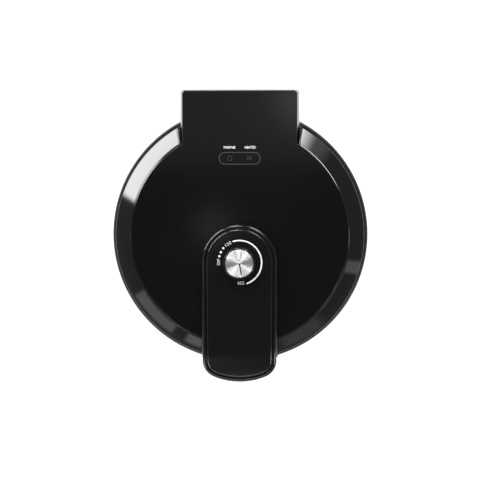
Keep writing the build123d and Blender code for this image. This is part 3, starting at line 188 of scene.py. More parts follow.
# Screws. Pan-head steel screws with a cross recess, plated with zinc. One tree makes each group:
# it turns the head and shank and sets them on the points of the places that it is given.
COVER_SCREW_R, BASE_UNDER_Z = 141.75, 8.0
GRIP_SCREW_X, GRIP_SCREW_Y, GRIP_SCREW_Z = 30.0, -177.5, 76.5
zinc_plate = finish("zinc_plate", (0.46, 0.46, 0.45), metal=1.0, rough=0.32, spread=0.08, grain=900,
                    bump=0.08, depth=0.00003, blotch=160, shift=0.1)


def screw_tree():
    """The tree that makes screws: sizes in metres, the way the heads face, and their plating."""
    tree = bpy.data.node_groups.new("pan_head_screws", "GeometryNodeTree")
    ask = tree.interface.new_socket
    ask("Geometry", in_out="INPUT", socket_type="NodeSocketGeometry")
    sizes = {"Head Radius": 0.003, "Head Height": 0.0018, "Shank Radius": 0.0015, "Shank Length": 0.006,
             "Recess Width": 0.0007, "Recess Depth": 0.0009}
    for name, value in sizes.items():
        ask(name, in_out="INPUT", socket_type="NodeSocketFloat").default_value = value
    ask("Facing", in_out="INPUT", socket_type="NodeSocketVector")
    ask("Plating", in_out="INPUT", socket_type="NodeSocketMaterial")
    ask("Geometry", in_out="OUTPUT", socket_type="NodeSocketGeometry")
    nodes, links = tree.nodes, tree.links
    given = nodes.new("NodeGroupInput")
    result = nodes.new("NodeGroupOutput")

    def times(size, share):
        """A size that is a share of one of the inputs."""
        node = add(nodes, "ShaderNodeMath", {1: share})
        node.operation = "MULTIPLY"
        links.new(given.outputs[size], node.inputs[0])
        return node.outputs[0]

    def drum(part, sides):
        """The cylinder of the head or the shank."""
        node = add(nodes, "GeometryNodeMeshCylinder", {"Vertices": sides})
        links.new(given.outputs[part + " Radius"], node.inputs["Radius"])
        links.new(given.outputs["Head Height" if part == "Head" else "Shank Length"], node.inputs["Depth"])
        return node.outputs["Mesh"]

    def moved(mesh, height):
        """A mesh moved up by a height."""
        node = nodes.new("GeometryNodeTransform")
        up = nodes.new("ShaderNodeCombineXYZ")
        links.new(height, up.inputs["Z"])
        links.new(mesh, node.inputs["Geometry"])
        links.new(up.outputs[0], node.inputs["Translation"])
        return node.outputs["Geometry"]

    def recess_arm(across, along):
        """One arm of the cross recess, at the top of the head."""
        cube = nodes.new("GeometryNodeMeshCube")
        size = nodes.new("ShaderNodeCombineXYZ")
        links.new(given.outputs["Recess Width"], size.inputs[across])
        links.new(times("Head Radius", 1.15), size.inputs[along])
        links.new(times("Recess Depth", 2.0), size.inputs["Z"])
        links.new(size.outputs[0], cube.inputs["Size"])
        return moved(cube.outputs["Mesh"], given.outputs["Head Height"])

    joined = nodes.new("GeometryNodeMeshBoolean")
    joined.operation = "UNION"
    joined.solver = "EXACT"
    links.new(moved(drum("Head", 32), times("Head Height", 0.5)), joined.inputs["Mesh 2"])
    links.new(moved(drum("Shank", 20), times("Shank Length", -0.49)), joined.inputs["Mesh 2"])
    cut = nodes.new("GeometryNodeMeshBoolean")
    cut.operation = "DIFFERENCE"
    cut.solver = "EXACT"
    links.new(joined.outputs["Mesh"], cut.inputs["Mesh 1"])
    links.new(recess_arm("Y", "X"), cut.inputs["Mesh 2"])
    links.new(recess_arm("X", "Y"), cut.inputs["Mesh 2"])
    aim = nodes.new("FunctionNodeAlignRotationToVector")
    aim.axis = "Z"
    links.new(given.outputs["Facing"], aim.inputs["Vector"])
    places = nodes.new("GeometryNodeMeshToPoints")
    links.new(given.outputs["Geometry"], places.inputs["Mesh"])
    spread = nodes.new("GeometryNodeInstanceOnPoints")
    links.new(places.outputs["Points"], spread.inputs["Points"])
    links.new(cut.outputs["Mesh"], spread.inputs["Instance"])
    links.new(aim.outputs["Rotation"], spread.inputs["Rotation"])
    real = nodes.new("GeometryNodeRealizeInstances")
    links.new(spread.outputs["Instances"], real.inputs["Geometry"])
    plated = nodes.new("GeometryNodeSetMaterial")
    links.new(real.outputs["Geometry"], plated.inputs["Geometry"])
    links.new(given.outputs["Plating"], plated.inputs["Material"])
    links.new(plated.outputs["Geometry"], result.inputs["Geometry"])
    return tree


pan_head_screws = screw_tree()


def screws_at(name, places, facing, body, node, sizes):
    """Screws with their heads seated on the given points, facing up (1) or down (-1)."""
    data = bpy.data.meshes.new(name + "_places")
    data.from_pydata([Vector(place) * 0.001 for place in places], [], [])
    seats = placed(name + "_places", data)
    modifier = seats.modifiers.new("screws", "NODES")
    modifier.node_group = pan_head_screws
    given = dict(sizes, Facing=(0.0, 0.0, facing), Plating=zinc_plate)
    for item in pan_head_screws.interface.items_tree:
        if item.in_out == "INPUT" and item.name in given:
            modifier[item.identifier] = given[item.name]
    made = plain_mesh(seats)
    made.name = name
    bpy.data.objects.remove(seats)
    made.set_sharp_from_angle(angle=CREASE)
    piece = placed(name, made)
    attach(piece, body)
    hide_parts(node)


cover_places = [(COVER_SCREW_R * math.cos(a), COVER_SCREW_R * math.sin(a), BASE_UNDER_Z)
                for a in (math.radians(60 * k) for k in range(6))]
screws_at("bottom_cover_screw_set", cover_places, -1, "base", "bottom_cover_screws",
          {"Head Height": 0.002, "Shank Length": 0.0045})
screws_at("grip_screw_pair", [(x, GRIP_SCREW_Y, GRIP_SCREW_Z) for x in (-GRIP_SCREW_X, GRIP_SCREW_X)],
          -1, "lid", "grip_screws", {"Head Height": 0.002, "Shank Length": 0.0115})


# Lid top cover. The flat gloss skin of the lid and the hinge box behind it are one moulding of
# black ABS, with a softly rounded edge that catches the light all round.
LID_TOP, COVER_UNDER = 92.0, 89.5   # heights from the table
DISC_R = 142.75                     # the disc, inside the seam to the bevel ring
DISC_ROLL, BOX_ROLL = 0.8, 1.0      # how far the top edge is rounded
LEDGE_INSET = 9.75                  # the disc's lip ends this far inside its edge
BOX_HALF_W, BOX_REAR_Y, BOX_CORNER_R = 74.9, 190.6, 5.0
BOX_WALL, BOX_DRAFT, BOX_SHOULDER = 2.5, 2.6, 77.0
LIP_LOW = 87.0                      # the lower edge of the lip round the disc
SIDE_LEAN, REAR_LEAN = 1.23, 0.65   # how much of a lean the box's sides and rear take up
EDGE_LEAN = 0.17                    # the lean that the rounded top edge starts from
DISC_STEPS, WALL_STEPS, CORNER_STEPS = 240, 60, 12
WINDOW_Y, WINDOW_HALF_L, WINDOW_END_R, WINDOW_FIT = 102.0, 27.7, 8.45, 0.1
WINDOW_SEAT_Z, HOLE_HALF_L, HOLE_END_R = 90.3, 25.4, 6.2


def lofted(name, halves):
    """A closed skin through matching outlines. Each is given as its right half, from one end to
    the other, and is mirrored; the first and the last are closed across, from side to side."""
    count = len(halves[0])
    vertices, faces = [], []
    for half in halves:
        vertices += list(half) + [(-x, y, z) for x, y, z in reversed(half)]
    ring = 2 * count
    for k in range(len(halves) - 1):
        for i in range(ring):
            j = (i + 1) % ring
            faces.append((k * ring + i, k * ring + j, (k + 1) * ring + j, (k + 1) * ring + i))
    for first in (0, (len(halves) - 1) * ring):
        for i in range(count - 1):
            faces.append((first + i, first + i + 1, first + ring - i - 2, first + ring - i - 1))
    return make_piece(name, vertices, faces)


def cover_half(disc_inset, box_inset, height, lean=0.0):
    """The cover's outline from the front of the disc to the box's rear corner. box_inset and height
    are rules for a place along the outline: 0 on the disc, and up to 1 at the box's corner. A lean
    spreads the box's walls."""
    def side_x(part):
        return BOX_HALF_W + SIDE_LEAN * lean - box_inset(part)

    radius = DISC_R - disc_inset
    join_y = math.sqrt(radius ** 2 - side_x(0) ** 2)
    sweep = math.atan2(join_y, side_x(0)) + math.pi / 2
    points = []
    for k in range(DISC_STEPS + 1):
        angle = -math.pi / 2 + sweep * k / DISC_STEPS
        points.append((radius * math.cos(angle), radius * math.sin(angle), height(0.0, radius)))
    rear = BOX_REAR_Y + REAR_LEAN * lean - box_inset(1)
    corner = max(BOX_CORNER_R - box_inset(1), 0.6)
    stop = rear - corner
    for k in range(1, WALL_STEPS + 1):
        part = k / WALL_STEPS
        x, y = side_x(part), join_y + (stop - join_y) * part
        points.append((x, y, height(part, math.hypot(x, y) if k > 1 else 0)))
    centre_x, corner_z = side_x(1) - corner, height(1.0, math.inf)
    for k in range(1, CORNER_STEPS + 1):
        turn = math.pi / 2 * k / CORNER_STEPS
        points.append((centre_x + corner * math.cos(turn), stop + corner * math.sin(turn), corner_z))
    return points


def edge_roll(part):
    """How far the top edge is rounded: least on the disc, and a little more along the hinge box."""
    return DISC_ROLL + (BOX_ROLL - DISC_ROLL) * min(1.0, part * 8)


def box_foot(part, r):
    """The lower edge of the skin: a short lip under the disc, and on the box walls that go down in
    steps where the plate, the liner and the base's rim make room."""
    if part == 0.0:
        return LIP_LOW
    for reach, height in ((137, 83.4), (149.8, 78.0), (156.8, 65.1), (166, 56.4)):
        if r < reach:
            return height
    return 52.0


halves = [cover_half(LEDGE_INSET, lambda part: BOX_WALL, lambda part, r: COVER_UNDER),
          cover_half(LEDGE_INSET, lambda part: BOX_WALL, lambda part, r: min(box_foot(part, r), LIP_LOW),
                     BOX_DRAFT),
          cover_half(0.0, lambda part: 0.0, box_foot, BOX_DRAFT),
          cover_half(0.0, lambda part: 0.0, lambda part, r: max(box_foot(part, r), BOX_SHOULDER),
                     BOX_DRAFT)]
for a in range(0, 91, 9):
    level, rise = 1 - math.cos(math.radians(a)), 1 - math.sin(math.radians(a))
    halves.append(cover_half(DISC_ROLL * level, lambda part: edge_roll(part) * level,
                             lambda part, r: LID_TOP - edge_roll(part) * rise, EDGE_LEAN * rise))
halves.append(cover_half(2 * DISC_ROLL, lambda part: edge_roll(part) + DISC_ROLL, lambda part, r: LID_TOP))
top_skin = lofted("top_skin", halves)


def stadium(half_length, radius, z, steps=24):
    """The right half of a long round-ended outline, lying across the lid at the window."""
    flat = half_length - radius
    return [(0, WINDOW_Y - radius, z)] + [
        (flat + radius * math.sin(math.pi * k / steps), WINDOW_Y - radius * math.cos(math.pi * k / steps), z)
        for k in range(steps + 1)] + [(0, WINDOW_Y + radius, z)]


carve(top_skin, lofted("window_seat", [stadium(WINDOW_HALF_L + WINDOW_FIT, WINDOW_END_R + WINDOW_FIT, z)
                                       for z in (WINDOW_SEAT_Z, LID_TOP + 1)]))
carve(top_skin, lofted("window_hole", [stadium(HOLE_HALF_L, HOLE_END_R, z) for z in (80, LID_TOP + 1)]))
satin_skin = finish("satin_skin", (0.0026, 0.0026, 0.0027), rough=0.13, spread=0.02, grain=420, bump=0.04,
                    depth=0.00002, blotch=9, shift=0.1)
top_skin.data.materials.clear()
top_skin.data.materials.append(satin_skin)
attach(top_skin, "lid")
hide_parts("lid_top_cover")


# Bevel ring. A high-gloss ABS moulding round the lid: a wide polished bevel, then a plain skirt.
# It stops at the hinge box, where each end is closed by its own wall.
BEVEL_FROM_R, BEVEL_TOP, BEVEL_FALL = 143.0, 91.9, 0.77
BEVEL_LOW = 74.0                    # nothing of the polished face lies below this
RING_END_X, RING_END_Y = 76.2, 120.8
END_SLOPE = 4.0 / 22.3              # the ends slant away from the hinge box
END_ROLL = 4.0                      # the polished face rolls down over this run
END_WALL_FROM, END_WALL_TO = 0.05, 2.5
polished_black = finish("polished_black", (0.0032, 0.0032, 0.0034), rough=0.07, spread=0.012, grain=260,
                        bump=0.025, depth=0.00002, blotch=14, shift=0.1)


def corner_arc(before, corner, after, radius, steps):
    """The points of an arc that rounds one corner of an outline."""
    corner = Vector(corner)
    a = (Vector(before) - corner).normalized()
    b = (Vector(after) - corner).normalized()
    half = a.angle(b) / 2
    reach = radius / math.tan(half)
    centre = corner + (a + b).normalized() * (radius / math.sin(half))
    start, end = corner + a * reach - centre, corner + b * reach - centre
    swing = math.atan2(start.x * end.y - start.y * end.x, start.dot(end))
    points = []
    for step in range(steps + 1):
        turn = swing * step / steps
        points.append((centre.x + start.x * math.cos(turn) - start.y * math.sin(turn),
                       centre.y + start.x * math.sin(turn) + start.y * math.cos(turn)))
    return points


def rounded(corners, steps):
    """A closed outline of (x, y, rounding) corners, with an arc wherever the rounding isn't 0."""
    out = []
    for i, (x, y, rounding) in enumerate(corners):
        if rounding:
            before, after = corners[i - 1][:2], corners[(i + 1) % len(corners)][:2]
            out += corner_arc(before, (x, y), after, rounding, steps)
        else:
            out.append((x, y))
    return out


def last_place(rule, low, high):
    """The last place between low and high where a rule still holds, found by halving."""
    for step in range(50):
        middle = (low + high) / 2
        if rule(middle):
            low = middle
        else:
            high = middle
    return low


def end_angle(radius, back):
    """Where a circle meets the ring's slanted end, moved back along the ring."""
    def side(y):
        return RING_END_X + (y - RING_END_Y) * END_SLOPE + back

    y = last_place(lambda place: math.hypot(side(place), place) < radius, 0.0, radius)
    return math.atan2(y, side(y))


def swept_ring(name, section, stations):
    """A section carried round the lid. A station is how far back it lies from the ring's slanted
    end, and its share of the way to the other end, or None for a plain run along one end."""
    vertices, faces = [], []
    count = len(section)
    for back, part in stations:
        for radius, height in section:
            angle = end_angle(radius, back)
            if part is not None:
                angle = angle - part * (math.pi + 2 * angle)
                if height > BEVEL_TOP - (radius - BEVEL_FROM_R) * BEVEL_FALL - 1.0 and height > BEVEL_LOW:
                    height -= END_ROLL - math.sqrt(END_ROLL ** 2 - max(0.0, END_ROLL - back) ** 2)
            vertices.append((radius * math.cos(angle), radius * math.sin(angle), height))
    for station in range(len(stations) - 1):
        here, there = station * count, (station + 1) * count
        for i in range(count):
            j = (i + 1) % count
            faces.append((here + i, there + i, there + j, here + j))
    faces.append(tuple(range(count)))
    faces.append(tuple(range((len(stations) - 1) * count, len(stations) * count)))
    return make_piece(name, vertices, faces)


bevel_section = rounded(
    [(143, 91.15, 0.15), (144.6, 91.85, 0.3), (164, 76, 1.8), (165, 55, 0.6), (162.5, 55, 0.4),
     (161.5, 74.6, 0), (149, 84.5, 0), (133, 84.5, 0), (133, 87, 0), (143, 87, 0)], 8)
roll_stations = [0.0, 0.1, 0.3, 0.6, 1.0, 1.5, 2.1, 2.8, 3.6]
bevel_ring = swept_ring("bevel_ring_moulding", bevel_section,
                        [(back, 0) for back in roll_stations] + [(4.2, step / 420) for step in range(421)]
                        + [(back, 1) for back in reversed(roll_stations)])
end_section = [(149.8, 84.2), (161.8, 74.9), (162.8, 56.4), (156.8, 56.4), (156.8, 63.1), (149.8, 65.1)]
end_stations = [(END_WALL_FROM + (END_WALL_TO - END_WALL_FROM) * step / 4, None) for step in range(5)]
end_wall = swept_ring("ring_end_wall", end_section, end_stations)
mirrored = end_wall.data.copy()
mirrored.transform(Matrix.Scale(-1, 4, (1, 0, 0)))
mirrored.flip_normals()
bm = bmesh.new()
for part in (bevel_ring.data, end_wall.data, mirrored):
    bm.from_mesh(part)
bm.to_mesh(bevel_ring.data)
bm.free()
bpy.data.objects.remove(end_wall)
bevel_ring.data.shade_smooth()
bevel_ring.data.set_sharp_from_angle(angle=math.radians(28))
bevel_ring.data.materials.append(polished_black)
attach(bevel_ring, "lid")
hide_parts("lid_bevel_ring")


# Handle. A long hollow moulding screwed to the lid from inside: round over the thermostat, straight
# beside the grip and bowed at the front, with a polished edge left standing round its panel.
KNOB_Y = -34.0                      # the knob stands at the middle of the handle's round end
ROUND_END_R, FRONT_HALF_W, FRONT_Y = 49.4, 48.5, -192.3
FRONT_BOW_R, FRONT_CORNER_R = 87, 24
HANDLE_TOP, FALL_FROM_Y, FALL_RUN, FALL = 101, -140, 52.3, 7
HANDLE_ROLL = 3.2
HANDLE_LIFT, SPLIT_Z = 0.1, 80.0    # over the lid, and where the grip tray takes over past it
FOOT_H, FOOT_REACH = 1.4, 1.2       # a low foot spreads where the handle sits on the lid
FOOT_FROM_Y, FOOT_FADE, FOOT_END_R, FOOT_END_RUN = -60, 50, 169, 1.5
SEAT_SLOPE = 16 / 21                # how the handle's lower edge follows the bevel
SIDE_STEPS, TURN_STEPS, BOW_STEPS = 80, 24, 28


def handle_loop(inset, height):
    """The handle's outline moved in, from the middle of its round end down one side and back."""
    half, side_x = ROUND_END_R - inset, FRONT_HALF_W - inset
    bow_r, corner_r = FRONT_BOW_R - inset, FRONT_CORNER_R - inset
    bow_y, corner_x = FRONT_Y + FRONT_BOW_R, FRONT_HALF_W - FRONT_CORNER_R
    corner_y = last_place(lambda y: math.hypot(corner_x, y - bow_y) > FRONT_BOW_R - FRONT_CORNER_R,
                          -185.0, -150.0)
    swing = math.atan2(corner_y - bow_y, corner_x)
    right = [(half * math.sin(math.radians(a)), KNOB_Y + half * math.cos(math.radians(a)))
             for a in range(0, 90, 3)]
    for k in range(SIDE_STEPS):
        right.append((half + (side_x - half) * k / SIDE_STEPS,
                      KNOB_Y + (corner_y - KNOB_Y) * k / SIDE_STEPS))
    for k in range(TURN_STEPS):
        turn = swing * k / TURN_STEPS
        right.append((corner_x + corner_r * math.cos(turn), corner_y + corner_r * math.sin(turn)))
    for k in range(BOW_STEPS):
        turn = swing + (-math.pi / 2 - swing) * k / BOW_STEPS
        right.append((bow_r * math.cos(turn), bow_y + bow_r * math.sin(turn)))
    right.append((0.0, bow_y - bow_r))
    return [(px, py, height(px, py)) for px, py in right]


def crown(drop):
    """The handle's top, level over the lid and falling in one long arc towards the front."""
    radius = (FALL_RUN ** 2 + FALL ** 2) / (2 * FALL)

    def height(x, y):
        if y > FALL_FROM_Y:
            return HANDLE_TOP - drop
        return HANDLE_TOP - radius + math.sqrt(radius ** 2 - (y - FALL_FROM_Y) ** 2) - drop
    return height


def on_lid(x, y):
    """The height of the lid under the handle, or the split of the grip beyond it."""
    r = math.hypot(x, y)
    if r < BEVEL_FROM_R:
        return LID_TOP + HANDLE_LIFT
    return max(SPLIT_Z, LID_TOP + HANDLE_LIFT - (r - BEVEL_FROM_R) * SEAT_SLOPE)


def on_foot(x, y):
    """The top of the foot that spreads round the handle."""
    return on_lid(x, y) + FOOT_H


def with_foot(height, reach):
    """The outline spread by the foot, which fades in beside the grip and ends at the lid's edge."""
    plain, spread = handle_loop(0, height), handle_loop(-reach, height)
    out = []
    for near, far in zip(plain, spread):
        share = min(1.0, max(0.0, (FOOT_END_R - math.hypot(near[0], near[1])) / FOOT_END_RUN))
        share *= min(1.0, max(0.0, (FOOT_FROM_Y - near[1]) / FOOT_FADE))
        out.append(tuple(n + (f - n) * share for n, f in zip(near, far)))
    return out


def rolled_edge(inset, drop, radius, step):
    """Outlines that carry a quarter round from a side up to the top, step degrees apart."""
    return [handle_loop(inset + radius * (1 - math.cos(math.radians(a))),
                        crown(drop + radius * (1 - math.sin(math.radians(a))))) for a in range(0, 91, step)]


handle_shell = lofted("handle_shell", [
    handle_loop(3, crown(3.5)), handle_loop(3, on_lid), with_foot(on_lid, FOOT_REACH),
    with_foot(lambda x, y: on_foot(x, y) - 0.5, FOOT_REACH), with_foot(lambda x, y: on_foot(x, y) - 0.1, 1.0),
    with_foot(on_foot, 0.6), with_foot(lambda x, y: on_foot(x, y) + 0.1, 0.0)]
    + rolled_edge(0, 0, HANDLE_ROLL, 9)
    + [handle_loop(4.5, crown(0.05)), handle_loop(4.9, crown(0.2)), handle_loop(5.1, crown(0.6)),
       handle_loop(5.2, crown(2.4))])
handle_shell.data.materials.append(polished_black)
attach(handle_shell, "lid")
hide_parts("handle_body")


# Handle panel. The long inlay that fills the handle's top and carries the dial. It stands a hair
# proud of the edge round it, and its own edge is softly rounded.
PANEL_INSET, PANEL_ROLL, PANEL_PROUD = 5.6, 2.4, 0.8
handle_panel = lofted("handle_panel", [handle_loop(PANEL_INSET, crown(PANEL_ROLL))]
                      + rolled_edge(PANEL_INSET, -PANEL_PROUD, PANEL_ROLL, 10)
                      + [handle_loop(PANEL_INSET + PANEL_ROLL + PANEL_PROUD, crown(-PANEL_PROUD))])
panel_gloss = finish("panel_gloss", (0.0040, 0.0040, 0.0042), rough=0.13, spread=0.02, grain=300, bump=0.03,
                     depth=0.00002, blotch=12, shift=0.1)
handle_panel.data.materials.append(panel_gloss)
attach(handle_panel, "lid")
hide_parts("handle_top_panel")


# Grip tray. It closes the handle's overhang from below, in the grained moulding of the base, and
# it is held by two screws whose heads are sunk into it.
grip_tray = tidy_copy("grip_underside", "grip_tray")
grip_tray.data.materials.append(grained_black)
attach(grip_tray, "lid")
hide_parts("grip_underside")


# Knob. A black ABS body on the thermostat's flatted shaft, with a turned aluminium disc let into
# its top and a thin dark line inlaid in the disc as its pointer.
POINTER_L, POINTER_HALF_W, POINTER_DEG = 16.0, 0.8, -79
POINTER_LOW, POINTER_TOP = 119.1, 119.6
knob = turned("knob_moulding", rounded(
    [(0, 104, 0), (7, 104, 0), (7, 102.2, 0), (21.3, 102.2, 0.3), (21.3, 103.5, 0.3), (20.3, 119.4, 1.4),
     (18.25, 119.4, 0.1), (18.25, 118.2, 0), (0, 118.2, 0)], 7), 192, KNOB_Y)
knob_gloss = finish("knob_gloss", (0.004, 0.004, 0.004), rough=0.16, spread=0.03, grain=700, bump=0.05,
                    depth=0.00002, blotch=60, shift=0.1)
knob.data.materials.append(knob_gloss)
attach(knob, "knob")
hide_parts("knob_body")

spun_disc = turned("spun_disc", rounded(
    [(0, 118.25, 0), (18.2, 118.25, 0), (18.2, 119.1, 0.1), (17.7, 119.57, 0.1), (0, 119.57, 0)], 4),
    192, KNOB_Y)


def spun_metal():
    """Aluminium faced on a lathe: fine rings, and light that fans out from the middle."""
    material = bpy.data.materials.new("spun_aluminium")
    material.use_nodes = True
    nodes, links = material.node_tree.nodes, material.node_tree.links
    shader = nodes["Principled BSDF"]
    shader.inputs["Metallic"].default_value = 1.0
    shader.inputs["Roughness"].default_value = 0.4
    shader.inputs["Anisotropic"].default_value = 0.95
    place = nodes.new("ShaderNodeTexCoord")
    centre = add(nodes, "ShaderNodeMapping", {"Location": (0, -KNOB_Y * 0.001, 0)})
    links.new(place.outputs["Object"], centre.inputs["Vector"])
    rings = add(nodes, "ShaderNodeTexWave", {"Scale": 900, "Distortion": 1.5, "Detail": 3})
    rings.wave_type = "RINGS"
    rings.rings_direction = "Z"
    links.new(centre.outputs["Vector"], rings.inputs["Vector"])
    tone = nodes.new("ShaderNodeMix")
    tone.data_type = "RGBA"
    tone.inputs["A"].default_value = (0.69, 0.69, 0.70, 1)
    tone.inputs["B"].default_value = (0.87, 0.87, 0.88, 1)
    links.new(rings.outputs["Fac"], tone.inputs["Factor"])
    links.new(tone.outputs["Result"], shader.inputs["Base Color"])
    split = nodes.new("ShaderNodeSeparateXYZ")
    links.new(centre.outputs["Vector"], split.inputs[0])
    outward = nodes.new("ShaderNodeCombineXYZ")
    links.new(split.outputs["X"], outward.inputs["X"])
    links.new(split.outputs["Y"], outward.inputs["Y"])
    unit = nodes.new("ShaderNodeVectorMath")
    unit.operation = "NORMALIZE"
    links.new(outward.outputs[0], unit.inputs[0])
    links.new(unit.outputs[0], shader.inputs["Tangent"])
    relief = add(nodes, "ShaderNodeBump", {"Strength": 0.05, "Distance": 0.00001})
    links.new(rings.outputs["Fac"], relief.inputs["Height"])
    links.new(relief.outputs["Normal"], shader.inputs["Normal"])
    return material


spun_disc.data.materials.append(spun_metal())
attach(spun_disc, "knob")
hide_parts("knob_cap")

ink_black = finish("ink_black", (0.006, 0.006, 0.006), rough=0.4, grain=900, bump=0.05)
straight = POINTER_L - POINTER_HALF_W
bar = [(0.0, -POINTER_HALF_W), (straight, -POINTER_HALF_W)]
bar += [(straight + POINTER_HALF_W * math.sin(math.radians(a)), -POINTER_HALF_W * math.cos(math.radians(a)))
        for a in range(15, 180, 15)]
bar += [(straight, POINTER_HALF_W), (0.0, POINTER_HALF_W)]
swing = math.radians(POINTER_DEG)
bar = [(px * math.cos(swing) - py * math.sin(swing), KNOB_Y + px * math.sin(swing) + py * math.cos(swing))
       for px, py in bar]
count = len(bar)
vertices = [(px, py, POINTER_LOW) for px, py in bar] + [(px, py, POINTER_TOP) for px, py in bar]
faces = [tuple(range(count)), tuple(range(count, 2 * count))]
faces += [(i, (i + 1) % count, count + (i + 1) % count, count + i) for i in range(count)]
pointer = make_piece("pointer_inlay", vertices, faces)
pointer.data.materials.append(ink_black)
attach(pointer, "knob")
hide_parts("knob_pointer")


# Dial. White ink printed on the panel round the knob: the swept line of the heat range, three dots
# before it, the off mark and plain temperatures at its two ends.
PRINT_Z = 101.83
DIAL_R, DIAL_LINE_W, DIAL_FROM_DEG, DIAL_TO_DEG = 28.95, 1.9, 108, -71
DOT_R = 1.5
DIAL_TEXT_H, WEIGHT = 3.9, -0.006
print_white = finish("print_white", (0.74, 0.74, 0.73), rough=0.5, spread=0.05, grain=1200, bump=0.05,
                     shift=0.03)


def on_dial(degrees, radius):
    """A place round the knob, as x and y."""
    return radius * math.cos(math.radians(degrees)), KNOB_Y + radius * math.sin(math.radians(degrees))


def print_and_highlight_piece(name, outlines, z, body, material):
    """Flat filled outlines a hair above a surface: printed ink, and the painted highlight round the window's
    lens.
    """
    data = bpy.data.meshes.new(name)
    bm = bmesh.new()
    for outline in outlines:
        corners = [bm.verts.new((px * 0.001, py * 0.001, z * 0.001)) for px, py in outline]
        face = bm.faces.new(corners)
        face.normal_update()
        if face.normal.z < 0:
            face.normal_flip()
    bmesh.ops.triangulate(bm, faces=bm.faces)
    bm.to_mesh(data)
    bm.free()
    data.materials.append(material)
    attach(placed(name, data), body)


def sweep_strip(radius, width, start, stop, y, step=2.0):
    """A curved stroke cut into short pieces, so that each is a plain four-sided face."""
    count = max(2, int(abs(stop - start) / step))
    inner, outer = radius - width / 2, radius + width / 2
    strips = []
    for k in range(count):
        a = math.radians(start + (stop - start) * k / count)
        b = math.radians(start + (stop - start) * (k + 1) / count)
        strips.append([(inner * math.cos(a), y + inner * math.sin(a)),
                       (outer * math.cos(a), y + outer * math.sin(a)),
                       (outer * math.cos(b), y + outer * math.sin(b)),
                       (inner * math.cos(b), y + inner * math.sin(b))])
    return strips


outlines = sweep_strip(DIAL_R, DIAL_LINE_W, DIAL_FROM_DEG, DIAL_TO_DEG, KNOB_Y)
for degrees, radius in ((138.4, 28.3), (150.6, 27.9), (162.5, 27.5)):
    cx, cy = on_dial(degrees, radius)
    outlines.append([(cx + DOT_R * math.cos(math.radians(a)), cy + DOT_R * math.sin(math.radians(a)))
                     for a in range(0, 360, 15)])
print_and_highlight_piece("dial_print", outlines, PRINT_Z, "lid", print_white)


def lettering(name, text, size, width, x, y, z, turn, body, material, weight=WEIGHT):
    """A printed word, size high and width wide in millimetres. Its letters are made a flat mesh
    and set in place on the surface; weight thins or thickens their strokes."""
    curve = bpy.data.curves.new(name, "FONT")
    curve.body = text
    curve.align_x = "CENTER"
    curve.align_y = "CENTER"
    curve.size = 1.0
    curve.offset = weight
    maker = placed(name + "_type", curve)
    data = plain_mesh(maker)
    bpy.data.objects.remove(maker)
    xs = [v.co.x for v in data.vertices]
    ys = [v.co.y for v in data.vertices]
    middle = Vector(((max(xs) + min(xs)) / 2, (max(ys) + min(ys)) / 2, 0))
    data.transform(Matrix.Translation(-middle))
    scale_x = width / (max(xs) - min(xs))
    scale_y = size / (max(ys) - min(ys))
    data.transform(Matrix.Diagonal((scale_x * 0.001, scale_y * 0.001, 1, 1)))
    data.transform(Matrix.Translation((x * 0.001, y * 0.001, z * 0.001))
                   @ Matrix.Rotation(math.radians(turn), 4, "Z"))
    data.materials.clear()
    data.materials.append(material)
    data.name = name
    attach(placed(name, data), body)


for word, text, degrees, radius, width in (("off_mark", "OFF", 178.6, 27.3, 8.4),
                                           ("low_number", "120", 121, 28.6, 8.6),
                                           ("high_number", "230", -86, 26.8, 8.6)):
    cx, cy = on_dial(degrees, radius)
    lettering(word, text, DIAL_TEXT_H, width, cx, cy, PRINT_Z, degrees - 90, "lid", print_white)


# Indicator window. A smoked acrylic lens snapped into the lid. The grey line round its edge is a painted
# highlight for the light on the lens's rim.
# Two faint signs are printed on the lens, with a small white word on the lid behind each.
LENS_HALF_L, LENS_END_R = WINDOW_HALF_L - WINDOW_FIT, WINDOW_END_R - WINDOW_FIT
LENS_BEVEL = 0.2                    # round the lens's top edge
# the painted highlight round the lens: its length, end radius and width, just inside the lens's edge
LINE_HALF_L, LINE_END_R, LINE_W = 27.4, 8.2, 1.1
SIGN_X, SIGN_R, SIGN_STROKE = 12.8, 2.9, 0.8
BAR_PITCH, BAR_HALF_W, BAR_HALF_H = 2.2, 0.5, 2.6
WORD_Y, WORD_H, WORD_WEIGHT = 116.3, 3.3, 0.012
SIGN_Z, WORD_Z = LID_TOP + 0.03, LID_TOP + 0.02
lens = lofted("smoked_lens", [
    stadium(LENS_HALF_L, LENS_END_R, WINDOW_SEAT_Z + WINDOW_FIT),
    stadium(LENS_HALF_L, LENS_END_R, LID_TOP - LENS_BEVEL),
    stadium(LENS_HALF_L - LENS_BEVEL, LENS_END_R - LENS_BEVEL, LID_TOP)])
smoked = finish("smoked_acrylic", (0.003, 0.003, 0.0035), rough=0.08, spread=0.01, grain=200, bump=0.01,
                blotch=30, shift=0.1)
lens.data.materials.append(smoked)
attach(lens, "lid")
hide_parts("indicator_window")


def band_faces(outer, inner):
    """The band between two matching half outlines, with its mirror image, as four-sided faces."""
    right = [[outer[i][:2], outer[i + 1][:2], inner[i + 1][:2], inner[i][:2]] for i in range(len(outer) - 1)]
    return right + [[(-px, py) for px, py in face] for face in right]


# Painted highlight: a flat grey band just inside the lens's edge, standing in for light on its rim.
painted_edge_highlight = finish("painted_edge_highlight", (0.038, 0.038, 0.04), rough=0.35, spread=0.04, grain=900, bump=0.04,
                    shift=0.08)
line_outside = stadium(LINE_HALF_L, LINE_END_R, 0)
line_inside = stadium(LINE_HALF_L - LINE_W, LINE_END_R - LINE_W, 0)
print_and_highlight_piece("window_edge_highlight", band_faces(line_outside, line_inside), SIGN_Z, "lid", painted_edge_highlight)

